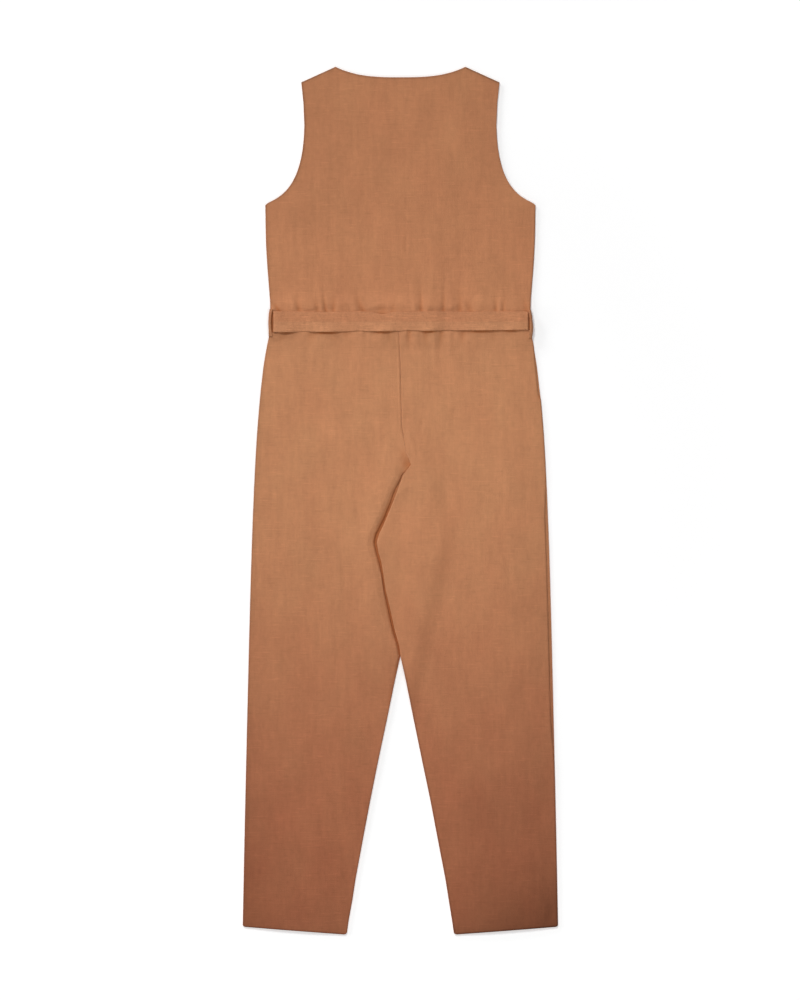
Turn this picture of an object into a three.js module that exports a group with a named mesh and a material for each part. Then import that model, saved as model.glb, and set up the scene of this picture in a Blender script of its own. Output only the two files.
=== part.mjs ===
// A sleeveless linen jumpsuit, laid flat on its front with its back up.
// Millimetres: x runs across, y from the hems (low) to the neck (high), z up from the surface.
import * as THREE from 'three';

// Cloth: wall, gap between pieces, and the loft between the layers, less where pressed
const WALL = 1.4;
const GAP = 0.3;
const HALF_GAP = GAP / 2;
const LAYER = WALL + GAP;
const LOFT = 1.9;
const LEAST_HOLLOW = 0.05;
const EDGE_EASE = 65;
const TOP_LOFT = 0.2;
const TOP_EASE = 130;
const HEM_LOFT = 0.3;
const HEM_EASE = 100;
const BELT_LOFT = 0.25;
const BELT_EASE = 24;

// Bodice: neck, shoulder and armhole
const NECK_HALF = 105;
const NECK_TOP = 700;
const BACK_NECK_DEPTH = 17;
const FRONT_NECK_DEPTH = 95;
const SHOULDER_TIP = new THREE.Vector2(160, 675);
const ARMHOLE_WAIST = new THREE.Vector2(155, 606);
const UNDERARM = new THREE.Vector2(218, 476);
const ARMHOLE_DROP = 65;
const ARMHOLE_FOOT = new THREE.Vector2(172, 503);
const SHAPING_FROM = 505;
const UPPER_ARMHOLE = 642;
const SIDE_HEIGHTS = [300, 309, 317, 326, 337, 352, 370, 392, 420, 450];
const ARMHOLE_STEPS = [0, 0.12, 0.25, 0.4, 0.58, 0.78, 1];

// Waist: the seam between bodice and trousers, the belt over it and its lap at the front
const WAIST_SEAM = 288.5;
const BELT_LOW = 273.5;
const BELT_HIGH = 305;
const BELT_TILT = 4 / 420;
const BELT_CLEAR = 4;
const BELT_RUN_UP = 28;
const BELT_CROWN = 0.85;
const BELT_DIP = { x: -29, width: 14, depth: 4.5 };
const LAP_HALF = 30;
const LAP_RAMP = 15;
const LAP_REACH = 42;
const LAP_FADE = 70;
const LAP_MIDDLE = 8;
const WAIST_HALF = 210;
const TURN_RADIUS = 1.2;

// Trousers
const HEM_OUTER_RISE = 13;
const HEM_SLANT_FROM = -540;
const HEM = -700;
const FORK = 58;
const GAP_APEX = -251;
const LIFT_FADE_TOP = 125;
const LIFT_EDGE = 16;
const LIFT_RUN = 36;
const LEG_GAP = 0.6;
const PRESSED_LOFT = 0.05;
const PRESS_FROM = 88;
const PRESS_TO = -330;
const LEG_HEIGHTS = [
  HEM, -676, -600, -515, -430, -350, -289, GAP_APEX, -215, -175, -141, -112, -86, -62, -52, -25, 12,
  41, FORK, 68, 79, 98, 119, 142, 165, 172, 195, 216, 235, 250, 260, 265, 270, 280,
  WAIST_SEAM - HALF_GAP,
];
// The cloth of the left leg that puffs up beside the fork
const PUFF = { x: -13, y: 66, across: 20, along: 17, height: 1.8 };

// Belt loops: the strip that shows beside the belt and its height on the side seam
const LOOP_FLANGE = 6.5;
const LOOP_FOOT = 0.9;
const LOOPS = [
  { name: 'belt_loop_left', side: -1, high: 309, low: 266.5, slack: 0 },
  { name: 'belt_loop_right', side: 1, high: 307.5, low: 266, slack: 1.4 },
];

// Side of bodice and trousers: half the width of the garment at each height
const SIDE = [
  { y: 476, half: 218 },
  { y: 420, half: 217 },
  { y: 382, half: 215 },
  { y: 343, half: 212 },
  { y: 314, half: 210 },
  { y: 265, half: 210 },
  { y: 260, half: 213 },
  { y: 238, half: 217.5 },
  { y: 212, half: 221.5 },
  { y: 161, half: 227 },
  { y: 98, half: 232 },
  { y: 1, half: 237 },
  { y: -128, half: 241.5 },
  { y: -322, half: 246.5 },
  { y: -515, half: 251 },
  { y: -687, half: 254.5 },
];

// Inner edges of the two legs: one seam down to the fork, then each leg's own inseam.
// Between the fork and the apex of the gap the right leg lies on the left one.
const INNER = [
  { y: 290, left: -3, right: -3 },
  { y: 217, left: 0, right: 0 },
  { y: 119, left: 2.5, right: 2.5 },
  { y: 79, left: 9, right: 9 },
  { y: FORK, left: 17, right: 17 },
  { y: 41, left: 21, right: 2.5 },
  { y: 12, left: 28, right: -12 },
  { y: -25, left: 36, right: -26.5 },
  { y: -52, left: 42, right: -41 },
  { y: -62, left: 43, right: -43 },
  { y: -86, left: 38, right: -38 },
  { y: -112, left: 30, right: -30 },
  { y: -141, left: 25, right: -25 },
  { y: -175, left: 18, right: -18 },
  { y: -215, left: 8, right: -8 },
  { y: GAP_APEX, left: 0, right: 0 },
  { y: -289, left: -8.5, right: 8.5 },
  { y: -676, left: -83, right: 83 },
  { y: HEM, left: -86.5, right: 86.5 },
];

// How far the right front leg shows past the back leg: at the pocket, and where the side
// seam is rolled to the back and the front leg's edge curls up by the last column
const ROLL_INSET = 4.5;
const ROLL_HEIGHT = 1.2;
const SEAM_ROLL = [
  { y: 250, peek: 0, inset: 0, curl: 0 },
  { y: 235, peek: 2, inset: 0, curl: 0 },
  { y: 172, peek: 2, inset: 0, curl: 0 },
  { y: 165, peek: 0, inset: 0, curl: 0 },
  { y: 41, peek: 0, inset: 0, curl: 0 },
  { y: -25, peek: 0, inset: ROLL_INSET, curl: 0 },
  { y: -52, peek: 0, inset: ROLL_INSET, curl: ROLL_HEIGHT },
  { y: -289, peek: 0, inset: ROLL_INSET, curl: ROLL_HEIGHT },
  { y: -350, peek: 0, inset: ROLL_INSET, curl: 0 },
  { y: -430, peek: 0, inset: 0, curl: 0 },
];

// Gathers above the belt: x at the belt, shift of x at the far end, length, width, height
const BODICE_FOLDS = [
  { x: -164, lean: -3, reach: 42, width: 7, height: -1 },
  { x: -133, lean: -4, reach: 38, width: 6, height: -1.2 },
  { x: -123, lean: -28, reach: 76, width: 6, height: 1.4 },
  { x: -113, lean: 2, reach: 42, width: 5, height: -1.7 },
  { x: -62, lean: -9, reach: 42, width: 6, height: -1.2 },
  { x: -24, lean: 0, reach: 26, width: 14, height: -1.3 },
  { x: 20, lean: 0, reach: 104, width: 7, height: 1.4 },
  { x: 33, lean: 2, reach: 84, width: 6, height: -1.7 },
  { x: 49, lean: 1, reach: 78, width: 7, height: 1.4 },
  { x: 67, lean: 3, reach: 104, width: 7, height: -1.1 },
  { x: 95, lean: -2, reach: 98, width: 7, height: -1.3 },
  { x: 153, lean: 2, reach: 42, width: 7, height: -1.1 },
  { x: 168, lean: 4, reach: 40, width: 6, height: -0.9 },
];

// Gathers below the belt, in the same columns, left leg then right leg
const LEG_FOLDS = {
  left: [
    { x: -151, lean: -2, reach: 26, width: 8, height: -1.1 },
    { x: -86, lean: 0, reach: 24, width: 7, height: -1.1 },
    { x: -62, lean: -3, reach: 140, width: 9, height: 1.3 },
  ],
  right: [
    { x: 25, lean: 3, reach: 46, width: 8, height: -1.4 },
    { x: 44, lean: 2, reach: 90, width: 7, height: 1.3 },
    { x: 65, lean: 0, reach: 52, width: 6, height: -1.3 },
    { x: 78, lean: 2, reach: 60, width: 6, height: 1.1 },
    { x: 95, lean: 2, reach: 24, width: 7, height: -1.1 },
  ],
};
const FOLD_PRESSED = 0.15;
const FOLD_RISE = 12;

const LINEN = new THREE.MeshStandardMaterial({ color: 0xb87d59, roughness: 0.92, metalness: 0 });
const BELT_LINEN = new THREE.MeshStandardMaterial({ color: 0xbd835e, roughness: 0.9, metalness: 0 });

const clamp = THREE.MathUtils.clamp;
const lerp = THREE.MathUtils.lerp;

// A soft step from 0 to 1 as value goes from start to end, in either direction
function ramp(value, start, end) {
  const t = clamp((value - start) / (end - start), 0, 1);
  return t * t * (3 - 2 * t);
}

// The pair of table rows round y, in a table that runs down from high y, and the share between
function rowsAround(table, y) {
  const last = table.length - 2;
  let i = 0;
  while (i < last && y < table[i + 1].y) i += 1;
  const share = clamp((table[i].y - y) / (table[i].y - table[i + 1].y), 0, 1);
  return { i, share };
}

// A column's value at y, straight from row to row
function straight(table, column, y) {
  const { i, share } = rowsAround(table, y);
  return lerp(table[i][column], table[i + 1][column], share);
}

// A column's value at y on a curve through the rows
function curved(table, column, y) {
  const { i, share } = rowsAround(table, y);
  const row = (k) => table[clamp(k, 0, table.length - 1)];
  const slope = (k) => (row(k + 1)[column] - row(k - 1)[column]) / (row(k + 1).y - row(k - 1).y);
  const span = row(i + 1).y - row(i).y;
  const square = share * share;
  const cube = square * share;
  return (2 * cube - 3 * square + 1) * row(i)[column]
    + (cube - 2 * square + share) * span * slope(i)
    + (3 * square - 2 * cube) * row(i + 1)[column]
    + (cube - square) * span * slope(i + 1);
}

// One closed wall between two matching grids of points. The over skin faces the side that
// the direction of a row crossed with that of a column gives.
function wallGeometry(under, over) {
  const rows = under.length;
  const columns = under[0].length;
  const faces = [];
  const at = (skin, row, column) => (skin * rows + row) * columns + column;
  const quad = (a, b, c, d) => faces.push(a, b, c, a, c, d);
  for (let r = 0; r < rows - 1; r += 1) {
    for (let c = 0; c < columns - 1; c += 1) {
      quad(at(1, r, c), at(1, r, c + 1), at(1, r + 1, c + 1), at(1, r + 1, c));
      quad(at(0, r, c), at(0, r + 1, c), at(0, r + 1, c + 1), at(0, r, c + 1));
    }
    quad(at(0, r + 1, 0), at(0, r, 0), at(1, r, 0), at(1, r + 1, 0));
    const end = columns - 1;
    quad(at(0, r, end), at(0, r + 1, end), at(1, r + 1, end), at(1, r, end));
  }
  for (let c = 0; c < columns - 1; c += 1) {
    quad(at(0, 0, c), at(0, 0, c + 1), at(1, 0, c + 1), at(1, 0, c));
    const top = rows - 1;
    quad(at(0, top, c + 1), at(0, top, c), at(1, top, c), at(1, top, c + 1));
  }
  const geometry = new THREE.BufferGeometry();
  const points = [...under.flat(), ...over.flat()];
  geometry.setFromPoints(points);
  geometry.setIndex(faces);
  geometry.computeVertexNormals();
  return geometry;
}

function namedMesh(name, geometry, material) {
  const mesh = new THREE.Mesh(geometry, material.clone());
  mesh.name = name;
  return mesh;
}

// A panel of cloth: rows from low y to high, each from a left to a right point, with columns
// at the given shares and its underside at the height that heightAt gives
function panel(name, rows, shares, heightAt) {
  const skin = (thickness) => rows.map((row) => shares.map((share) => {
    const x = lerp(row.left.x, row.right.x, share);
    const y = lerp(row.left.y, row.right.y, share) + (row.raise ? row.raise(x) : 0);
    return new THREE.Vector3(x, y, heightAt(x, y, row) + thickness);
  }));
  return namedMesh(name, wallGeometry(skin(0), skin(WALL)), LINEN);
}

// Column places across a panel: on each fold and its two feet, and at even steps between
function columnShares(from, to, step, folds, marks = []) {
  const least = 3;
  const wanted = [...marks];
  for (const fold of folds) wanted.push(fold.x - fold.width, fold.x, fold.x + fold.width);
  const places = [from];
  for (const x of wanted.sort((a, b) => a - b)) {
    if (x - places.at(-1) >= least && to - x >= least) places.push(x);
  }
  places.push(to);
  const filled = [from];
  for (const x of places.slice(1)) {
    const start = filled.at(-1);
    const parts = Math.ceil((x - start) / step);
    for (let k = 1; k <= parts; k += 1) filled.push(lerp(start, x, k / parts));
  }
  return filled.map((x) => (x - from) / (to - from));
}

// Height of the gathers at a point that lies beyond the belt's edge by distance
function gathers(folds, x, distance) {
  let height = 0;
  for (const fold of folds) {
    const t = clamp(distance / fold.reach, 0, 1);
    const centre = fold.x + fold.lean * t;
    const along = (FOLD_PRESSED + (1 - FOLD_PRESSED) * ramp(distance, 0, FOLD_RISE)) * (1 - ramp(t, 0, 1));
    height += fold.height * along * Math.exp(-(((x - centre) / fold.width) ** 2));
  }
  return height;
}

// How much the front rises where it lies on the front run of the belt and its lap
function beltRise(x, y) {
  const fromBelow = ramp(y, BELT_LOW - BELT_CLEAR - BELT_RUN_UP, BELT_LOW - BELT_CLEAR);
  const fromAbove = ramp(y, BELT_HIGH + BELT_CLEAR + BELT_RUN_UP, BELT_HIGH + BELT_CLEAR);
  const lap = 1 - ramp(Math.abs(x - LAP_MIDDLE), LAP_REACH, LAP_FADE);
  return LAYER * Math.min(fromBelow, fromAbove) * (1 + lap);
}

// Part of the loft that is left near the belt, which presses the layers together
function pressing(y) {
  const distance = Math.max(y - BELT_HIGH, BELT_LOW - y, 0);
  return lerp(BELT_LOFT, 1, ramp(distance, 0, BELT_EASE));
}

// Bodice rows from the waist seam up the side, round the armhole and to the shoulder tip
function bodiceEdge() {
  const points = [];
  for (const y of [WAIST_SEAM + HALF_GAP, ...SIDE_HEIGHTS]) {
    points.push(new THREE.Vector2(curved(SIDE, 'half', y), y));
  }
  const armhole = new THREE.CubicBezierCurve(
    UNDERARM,
    ARMHOLE_FOOT,
    new THREE.Vector2(ARMHOLE_WAIST.x, ARMHOLE_WAIST.y - ARMHOLE_DROP),
    ARMHOLE_WAIST,
  );
  for (const t of ARMHOLE_STEPS) points.push(armhole.getPoint(t));
  points.push(new THREE.Vector2(lerp(ARMHOLE_WAIST.x, SHOULDER_TIP.x, 0.3), UPPER_ARMHOLE));
  points.push(SHOULDER_TIP);
  return points;
}

// The top edge of a bodice piece at x: its neckline, then the shoulder seam
function topEdge(x, neckDepth) {
  const across = Math.abs(x);
  if (across < NECK_HALF) return NECK_TOP - neckDepth * (1 - (across / NECK_HALF) ** 3);
  const down = (across - NECK_HALF) / (SHOULDER_TIP.x - NECK_HALF);
  return lerp(NECK_TOP, SHOULDER_TIP.y, down);
}

function bodiceRows(neckDepth, leftOf, rightOf) {
  return bodiceEdge().map((edge) => {
    const weight = ramp(edge.y, SHAPING_FROM, SHOULDER_TIP.y);
    const widen = SHOULDER_TIP.x / edge.x;
    return {
      left: new THREE.Vector2(leftOf(edge.x), edge.y),
      right: new THREE.Vector2(rightOf(edge.x), edge.y),
      half: edge.x,
      raise: (x) => weight * (topEdge(x * widen, neckDepth) - SHOULDER_TIP.y),
    };
  });
}

// Space between the front and the back bodice
function bodiceHollow(x, y, row) {
  const across = ramp(row.half - Math.abs(x), 0, EDGE_EASE);
  const nearTop = lerp(TOP_LOFT, 1, ramp(y, NECK_TOP, NECK_TOP - TOP_EASE));
  const folds = gathers(BODICE_FOLDS, x, y - BELT_HIGH);
  return Math.max(LOFT * across * nearTop * pressing(y) + folds * across, LEAST_HOLLOW * across);
}

function makeBodice() {
  const neckCorner = NECK_HALF / SHOULDER_TIP.x * WAIST_HALF;
  const backShares = columnShares(-WAIST_HALF, WAIST_HALF, 32, BODICE_FOLDS, [-neckCorner, neckCorner]);
  const frontShares = columnShares(0, WAIST_HALF, 36, [], [neckCorner]);
  const mirrored = frontShares.map((share) => 1 - share).reverse();
  const backRows = bodiceRows(BACK_NECK_DEPTH, (half) => -half, (half) => half);
  const leftRows = bodiceRows(FRONT_NECK_DEPTH, (half) => -half, () => -HALF_GAP);
  const rightRows = bodiceRows(FRONT_NECK_DEPTH, () => HALF_GAP, (half) => half);
  const backHeight = (x, y, row) => beltRise(x, y) + LAYER + bodiceHollow(x, y, row);
  return [
    panel('back_bodice', backRows, backShares, backHeight),
    panel('front_bodice_left', leftRows, mirrored, beltRise),
    panel('front_bodice_right', rightRows, frontShares, beltRise),
  ];
}

// Rows of one leg from hem to waist. Above the fork both legs share the centre seam.
function legRows(side, sign, outerShift) {
  return LEG_HEIGHTS.map((y) => {
    const seamGap = y >= FORK ? sign * HALF_GAP : 0;
    const inner = new THREE.Vector2(straight(INNER, side, y) + seamGap, y);
    const outerY = y + HEM_OUTER_RISE * ramp(y, HEM_SLANT_FROM, HEM);
    const outer = new THREE.Vector2(sign * (curved(SIDE, 'half', outerY) + outerShift(y)), outerY);
    const [left, right] = sign > 0 ? [inner, outer] : [outer, inner];
    return { left, right, inner, outer };
  });
}

// Space between the front and the back of a leg
function legHollow(folds, x, y, row) {
  const fromSide = ramp(Math.abs(row.outer.x - x), 0, EDGE_EASE);
  const fromInseam = ramp(Math.abs(x - row.inner.x), 0, EDGE_EASE);
  const open = ramp(y, FORK, LIFT_FADE_TOP);
  const inwards = Math.max(fromInseam, open);
  const nearHem = lerp(HEM_LOFT, 1, ramp(y, HEM, HEM + HEM_EASE));
  const fold = gathers(folds, x, BELT_LOW - y);
  const least = LEAST_HOLLOW * fromSide;
  return Math.max(LOFT * fromSide * inwards * nearHem * pressing(y) + fold * fromSide, least);
}

// Share of the right leg's lift onto the left one: full over the left leg, none beyond it
function liftShare(x, y) {
  const edge = straight(INNER, 'left', y);
  return (1 - ramp(x, edge + LIFT_EDGE, edge + LIFT_EDGE + LIFT_RUN)) * ramp(y, LIFT_FADE_TOP, FORK + 2);
}

// Height of the puff beside the fork
function puff(x, y) {
  const across = (x - PUFF.x) / PUFF.across;
  const along = (y - PUFF.y) / PUFF.along;
  return PUFF.height * Math.exp(-across * across - along * along);
}

// Loft of the left leg is pressed out where the right leg lies on it
function pressedByLeg(x, y) {
  const between = ramp(y, PRESS_FROM, FORK) * ramp(y, PRESS_TO, GAP_APEX);
  const edge = straight(INNER, 'right', y);
  return lerp(1, PRESSED_LOFT, between * ramp(x, edge - EDGE_EASE, edge));
}

function makeLegs() {
  const none = () => 0;
  const inset = (y) => -straight(SEAM_ROLL, 'inset', y);
  const peek = (y) => straight(SEAM_ROLL, 'peek', y);
  const leftBackHeight = (x, y, row) => beltRise(x, y) + LAYER
    + legHollow(LEG_FOLDS.left, x, y, row) * pressedByLeg(x, y) + puff(x, y);
  const leftAsPressed = 2 * LAYER + LEG_GAP + LOFT * PRESSED_LOFT;
  const rightBase = (x, y) => beltRise(x, y) + leftAsPressed * liftShare(x, y);
  const rightFrontHeight = (x, y, row) => {
    const curl = straight(SEAM_ROLL, 'curl', y) * ramp(x, row.outer.x - ROLL_INSET, row.outer.x);
    return rightBase(x, y) + curl;
  };
  const rightBackHeight = (x, y, row) => rightBase(x, y) + LAYER + legHollow(LEG_FOLDS.right, x, y, row);
  const leftShares = columnShares(-WAIST_HALF, 0, 34, LEG_FOLDS.left, [-26, -14]);
  const rollMark = WAIST_HALF * (1 - ROLL_INSET / 240);
  const rightShares = columnShares(0, WAIST_HALF, 36, LEG_FOLDS.right, [8, rollMark]);
  const leftFrontShares = columnShares(-WAIST_HALF, 0, 42, [], [-26, -14]);
  return [
    panel('front_leg_left', legRows('left', -1, none), leftFrontShares, beltRise),
    panel('back_leg_left', legRows('left', -1, none), leftShares, leftBackHeight),
    panel('front_leg_right', legRows('right', 1, peek), rightShares, rightFrontHeight),
    panel('back_leg_right', legRows('right', 1, inset), rightShares, rightBackHeight),
  ];
}

// Points of a quarter turn in the x-z plane, from one angle to another
function quarterTurn(centreX, centreZ, radius, fromAngle, toAngle) {
  const steps = 4;
  const points = [];
  for (let k = 0; k <= steps; k += 1) {
    const angle = lerp(fromAngle, toAngle, k / steps);
    points.push(new THREE.Vector2(centreX + radius * Math.cos(angle), centreZ + radius * Math.sin(angle)));
  }
  return points;
}

// The two faces of a strip whose middle line runs in the x-z plane, WALL thick
function stripFaces(line) {
  const faces = { under: [], over: [] };
  line.forEach((point, k) => {
    const before = line[Math.max(k - 1, 0)];
    const after = line[Math.min(k + 1, line.length - 1)];
    const into = point.clone().sub(before).normalize();
    const out = after.clone().sub(point).normalize();
    const tangent = into.add(out).normalize();
    const normal = new THREE.Vector2(-tangent.y, tangent.x).multiplyScalar(WALL / 2);
    faces.under.push(point.clone().sub(normal));
    faces.over.push(point.clone().add(normal));
  });
  return faces;
}

// Height of the belt's middle line on the back of the garment
function beltTop(x) {
  const crown = BELT_CROWN * ramp(WAIST_HALF - Math.abs(x), 0, EDGE_EASE);
  return beltRise(x, WAIST_SEAM) + 2 * LAYER + crown + WALL / 2;
}

// The belt from its outer front end, round the left side, over the back and to its inner end
function beltLine() {
  const side = WAIST_HALF + LAYER - WALL / 2;
  const corner = side - TURN_RADIUS;
  const floor = WALL / 2;
  const sideTop = beltTop(side);
  const line = [new THREE.Vector2(LAP_HALF, floor)];
  for (const x of [0, -70, -140]) line.push(new THREE.Vector2(x, floor));
  line.push(...quarterTurn(-corner, floor + TURN_RADIUS, TURN_RADIUS, -Math.PI / 2, -Math.PI));
  line.push(...quarterTurn(-corner, sideTop - TURN_RADIUS, TURN_RADIUS, Math.PI, Math.PI / 2));
  const runs = 38;
  for (let k = 1; k < runs; k += 1) {
    const x = lerp(-corner, corner, k / runs);
    line.push(new THREE.Vector2(x, beltTop(x)));
  }
  line.push(...quarterTurn(corner, sideTop - TURN_RADIUS, TURN_RADIUS, Math.PI / 2, 0));
  line.push(...quarterTurn(corner, floor + TURN_RADIUS, TURN_RADIUS, 0, -Math.PI / 2));
  for (const x of [150, 95, LAP_HALF + LAP_RAMP]) line.push(new THREE.Vector2(x, floor));
  for (const x of [LAP_HALF + 3, 10, -LAP_HALF]) line.push(new THREE.Vector2(x, floor + LAYER));
  return line;
}

function makeBelt() {
  const line = beltLine();
  const faces = stripFaces(line);
  const backFrom = WALL + LAYER;
  const lowEdge = (x) => BELT_LOW + BELT_TILT * x;
  const highEdge = (x, z) => {
    const onBack = z > backFrom ? 1 : 0;
    const dip = BELT_DIP.depth * Math.exp(-(((x - BELT_DIP.x) / BELT_DIP.width) ** 2));
    return BELT_HIGH - onBack * dip;
  };
  const rows = (points) => [
    points.map((point, k) => new THREE.Vector3(point.x, lowEdge(line[k].x), point.y)),
    points.map((point, k) => new THREE.Vector3(point.x, highEdge(line[k].x, line[k].y), point.y)),
  ];
  return namedMesh('belt', wallGeometry(rows(faces.under), rows(faces.over)), BELT_LINEN);
}

// A belt loop at one height: its strip runs up the side seam and over onto the back,
// stand mm out from the cloth of the bodice or trousers
function loopLine(loop, y, stand) {
  const cloth = Math.max(WAIST_HALF, curved(SIDE, 'half', y));
  const side = cloth + GAP + WALL / 2 + stand + (stand > 0 ? loop.slack : 0);
  const top = beltRise(WAIST_HALF, WAIST_SEAM) + 2 * LAYER + WALL / 2 + stand;
  const radius = TURN_RADIUS + stand;
  const flange = WAIST_HALF + 2 * LAYER + loop.slack - LOOP_FLANGE;
  const line = [
    new THREE.Vector2(side, LOOP_FOOT),
    ...quarterTurn(side - radius, top - radius, radius, 0, Math.PI / 2),
    new THREE.Vector2(flange, top + 0.1),
  ];
  if (loop.side > 0) return line.reverse();
  return line.map((point) => new THREE.Vector2(-point.x, point.y));
}

function makeLoops() {
  return LOOPS.map((loop) => {
    const tilt = BELT_TILT * loop.side * WAIST_HALF;
    const stations = [
      { y: loop.low, stand: 0 },
      { y: BELT_LOW + tilt - GAP, stand: LAYER },
      { y: (BELT_LOW + BELT_HIGH) / 2, stand: LAYER },
      { y: BELT_HIGH + GAP, stand: LAYER },
      { y: loop.high, stand: 0 },
    ];
    const grids = { under: [], over: [] };
    for (const { y, stand } of stations) {
      const faces = stripFaces(loopLine(loop, y, stand));
      grids.under.push(faces.under.map((point) => new THREE.Vector3(point.x, y, point.y)));
      grids.over.push(faces.over.map((point) => new THREE.Vector3(point.x, y, point.y)));
    }
    return namedMesh(loop.name, wallGeometry(grids.under, grids.over), BELT_LINEN);
  });
}

const group = new THREE.Group();
group.add(...makeBodice(), ...makeLegs(), makeBelt(), ...makeLoops());

export default group;
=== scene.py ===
"""A sleeveless linen jumpsuit laid flat on its front, its back up, seen from straight above.

Sizes are millimetres in the tables and turned into metres where a mesh is made. x runs across,
y from the hems to the neck, z up from the surface.
"""
import math
from collections import namedtuple

import bpy
import numpy as np
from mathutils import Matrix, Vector


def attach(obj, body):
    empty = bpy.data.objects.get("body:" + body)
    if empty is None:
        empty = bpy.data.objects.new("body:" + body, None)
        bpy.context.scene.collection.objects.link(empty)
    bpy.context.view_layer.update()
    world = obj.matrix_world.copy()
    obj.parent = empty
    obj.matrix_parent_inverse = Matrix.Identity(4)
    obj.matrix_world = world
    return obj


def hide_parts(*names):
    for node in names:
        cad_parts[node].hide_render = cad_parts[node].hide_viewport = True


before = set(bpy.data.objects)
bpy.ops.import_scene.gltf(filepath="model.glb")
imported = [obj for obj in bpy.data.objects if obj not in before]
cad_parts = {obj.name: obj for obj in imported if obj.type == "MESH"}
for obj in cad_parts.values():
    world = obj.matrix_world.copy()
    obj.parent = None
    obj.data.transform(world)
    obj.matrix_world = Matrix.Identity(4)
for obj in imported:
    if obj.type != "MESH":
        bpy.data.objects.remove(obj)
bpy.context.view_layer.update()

MM = 0.001

# Cloth: the solids' wall and layer, the thinner cloth in them, and the loft between the layers
WALL = 1.4
GAP = 0.3
LAYER = WALL + GAP
CLOTH = 1.1
INSET = (WALL - CLOTH) / 2
LOFT = 1.9
EDGE_EASE = 65
LEAST_SPACE = 0.12
SEAM_ROLL_WIDTH = 2.4
SEAM_SLIT = 0.12
SEAM_HALF_GAP = 0.02
EDGE_ROUND = 0.7
MEET_RISE = 0.05
SEAM_FADE = (0.5, 6)
SIDE_FADE = (2, 14)
FRONT_HOLLOW = 0.6
INSEAM_ROLL = 0.9
BORDER = np.array([0, 0.12, 0.4, 0.85, 1.5, 2.4, 3.6])

# Broad unevenness: its height, its waves and their lengths, spread of direction, and seeds
UNEVEN = 0.22
WAVE_COUNT = 14
WAVE_LENGTHS = (38, 150)
WAVE_SPREAD = 0.5
CROSS_WAVE = 4
WAVE_SCALE = 5
BODICE_SEED = 3
LEG_SEED = {"left": 4, "right": 6}
BELT_SEED = 11

# Bodice
NECK_HALF = 105
NECK_TOP = 700
BACK_NECK_DEPTH = 17
FRONT_NECK_DEPTH = 95
SHOULDER_TIP = (160, 675)
UPPER_ARMHOLE = (156.5, 642)
ARMHOLE_CURVE = ((218, 476), (213, 487.7), (156.6, 483.5), (155, 606))
SHAPING_FROM = 505
SIDE_SEAM_END = (474, 466)
SHOULDER_START = (NECK_HALF - 2, NECK_HALF + 4)
UPPER_ROWS = 600
FAR = 99
TOP_LOFT = 0.2
TOP_EASE = 130
ARMHOLE_STEP = 0.03
UPPER_SHARES = (0.34, 0.67, 1)
TIP_SHARES = (0.25, 0.5, 0.75, 0.88, 0.95, 0.98, 0.995, 1)
BACK_COLUMNS = 2.3
FRONT_COLUMNS = 4.5
FRONT_BODICE = 2

# Waist, belt and its lap at the front
WAIST_SEAM = 288.5
BELT_LOW = 273.5
BELT_HIGH = 305
BELT_TILT = 4 / 420
BELT_CLEAR = 4
BELT_RUN_UP = 28
BELT_CROWN = 0.85
WAIST_HALF = 210
TURN_RADIUS = 1.2
LAP_HALF = 30
LAP_RAMP = 15
LAP_REACH = 42
LAP_FADE = 70
LAP_MIDDLE = 8
LAP_STEP_IN = 4
LAP_CLIMB = [(11, 0.5), (6, 1.3), (2, LAYER)]

# Rows of the meshes: start, stop and step
BODICE_ROWS = [(WAIST_SEAM + GAP / 2, 352, 1.9), (352, 420, 3), (420, 476, 5)]

# Trousers
HEM = -700
HEM_OUTER_RISE = 12.2
HEM_CORNER = 4
HEM_SLANT_FROM = -540
FORK = 58
GAP_APEX = -251
LIFT_FADE_TOP = 125
LIFT_FADE_FOOT = FORK + 2
LIFT_EDGE = 16
LIFT_RUN = 36
LEG_GAP = 0.6
PRESSED_LOFT = 0.05
PRESSED_LEG = 2 * LAYER + LEG_GAP + LOFT * PRESSED_LOFT
PRESS_ZONE = ((88, FORK), (-330, GAP_APEX))
PRESS_SLOPE = (-14, -1)
HEM_LOFT = 0.85
HEM_EASE = 60
HEM_ROWS = (HEM, HEM + 4, 0.6)
LEG_ROWS = [(HEM + 4, -330, 8), (-330, -130, 4), (-130, 132, 2), (132, 222, 3.2),
            (222, WAIST_SEAM - GAP / 2, 1.9)]
LEG_COLUMNS = [(0, 0.46, 0.0075), (0.46, 1, 0.0155)]
FRONT_LEG = 2.2

# Seams of the legs: widths of the rolls at their inner edges and where they apply
LEG_SEAM_FADE = {"left": (0.5, 4), "right": (0.5, 6)}
FOLD_ROLL = 1.4
FOLD_ROLL_ZONE = ((FORK + 6, FORK - 14), (GAP_APEX - 30, GAP_APEX + 30))
LEFT_ROLL = 1.3
FORK_ROLL = 0.2
FORK_ZONE = ((118, 92), (34, 40))
SEAM_LIFT = 0.1
SEAM_GROOVE = (FORK - 2, FORK + 4)
FRONT_CURL_WIDTH = 4.5
BACK_CURL_WIDTH = 6
BACK_CURL = 0.3
RIDGE_HEIGHT = 0.35
RIDGE_IN = 3
RIDGE_WIDTH = 1.3
RIDGE_FROM = (90, 110)

# Side of bodice and trousers: height, half the width
SIDE = [
    (476, 218), (420, 217), (382, 215), (343, 212), (314, 210), (274, 210), (268, 211.5), (260, 213.1),
    (238, 217.5), (212, 221.5), (161, 227), (98, 232), (1, 237), (-128, 241.5), (-322, 246.5),
    (-515, 251), (-687, 254.5),
]

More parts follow.
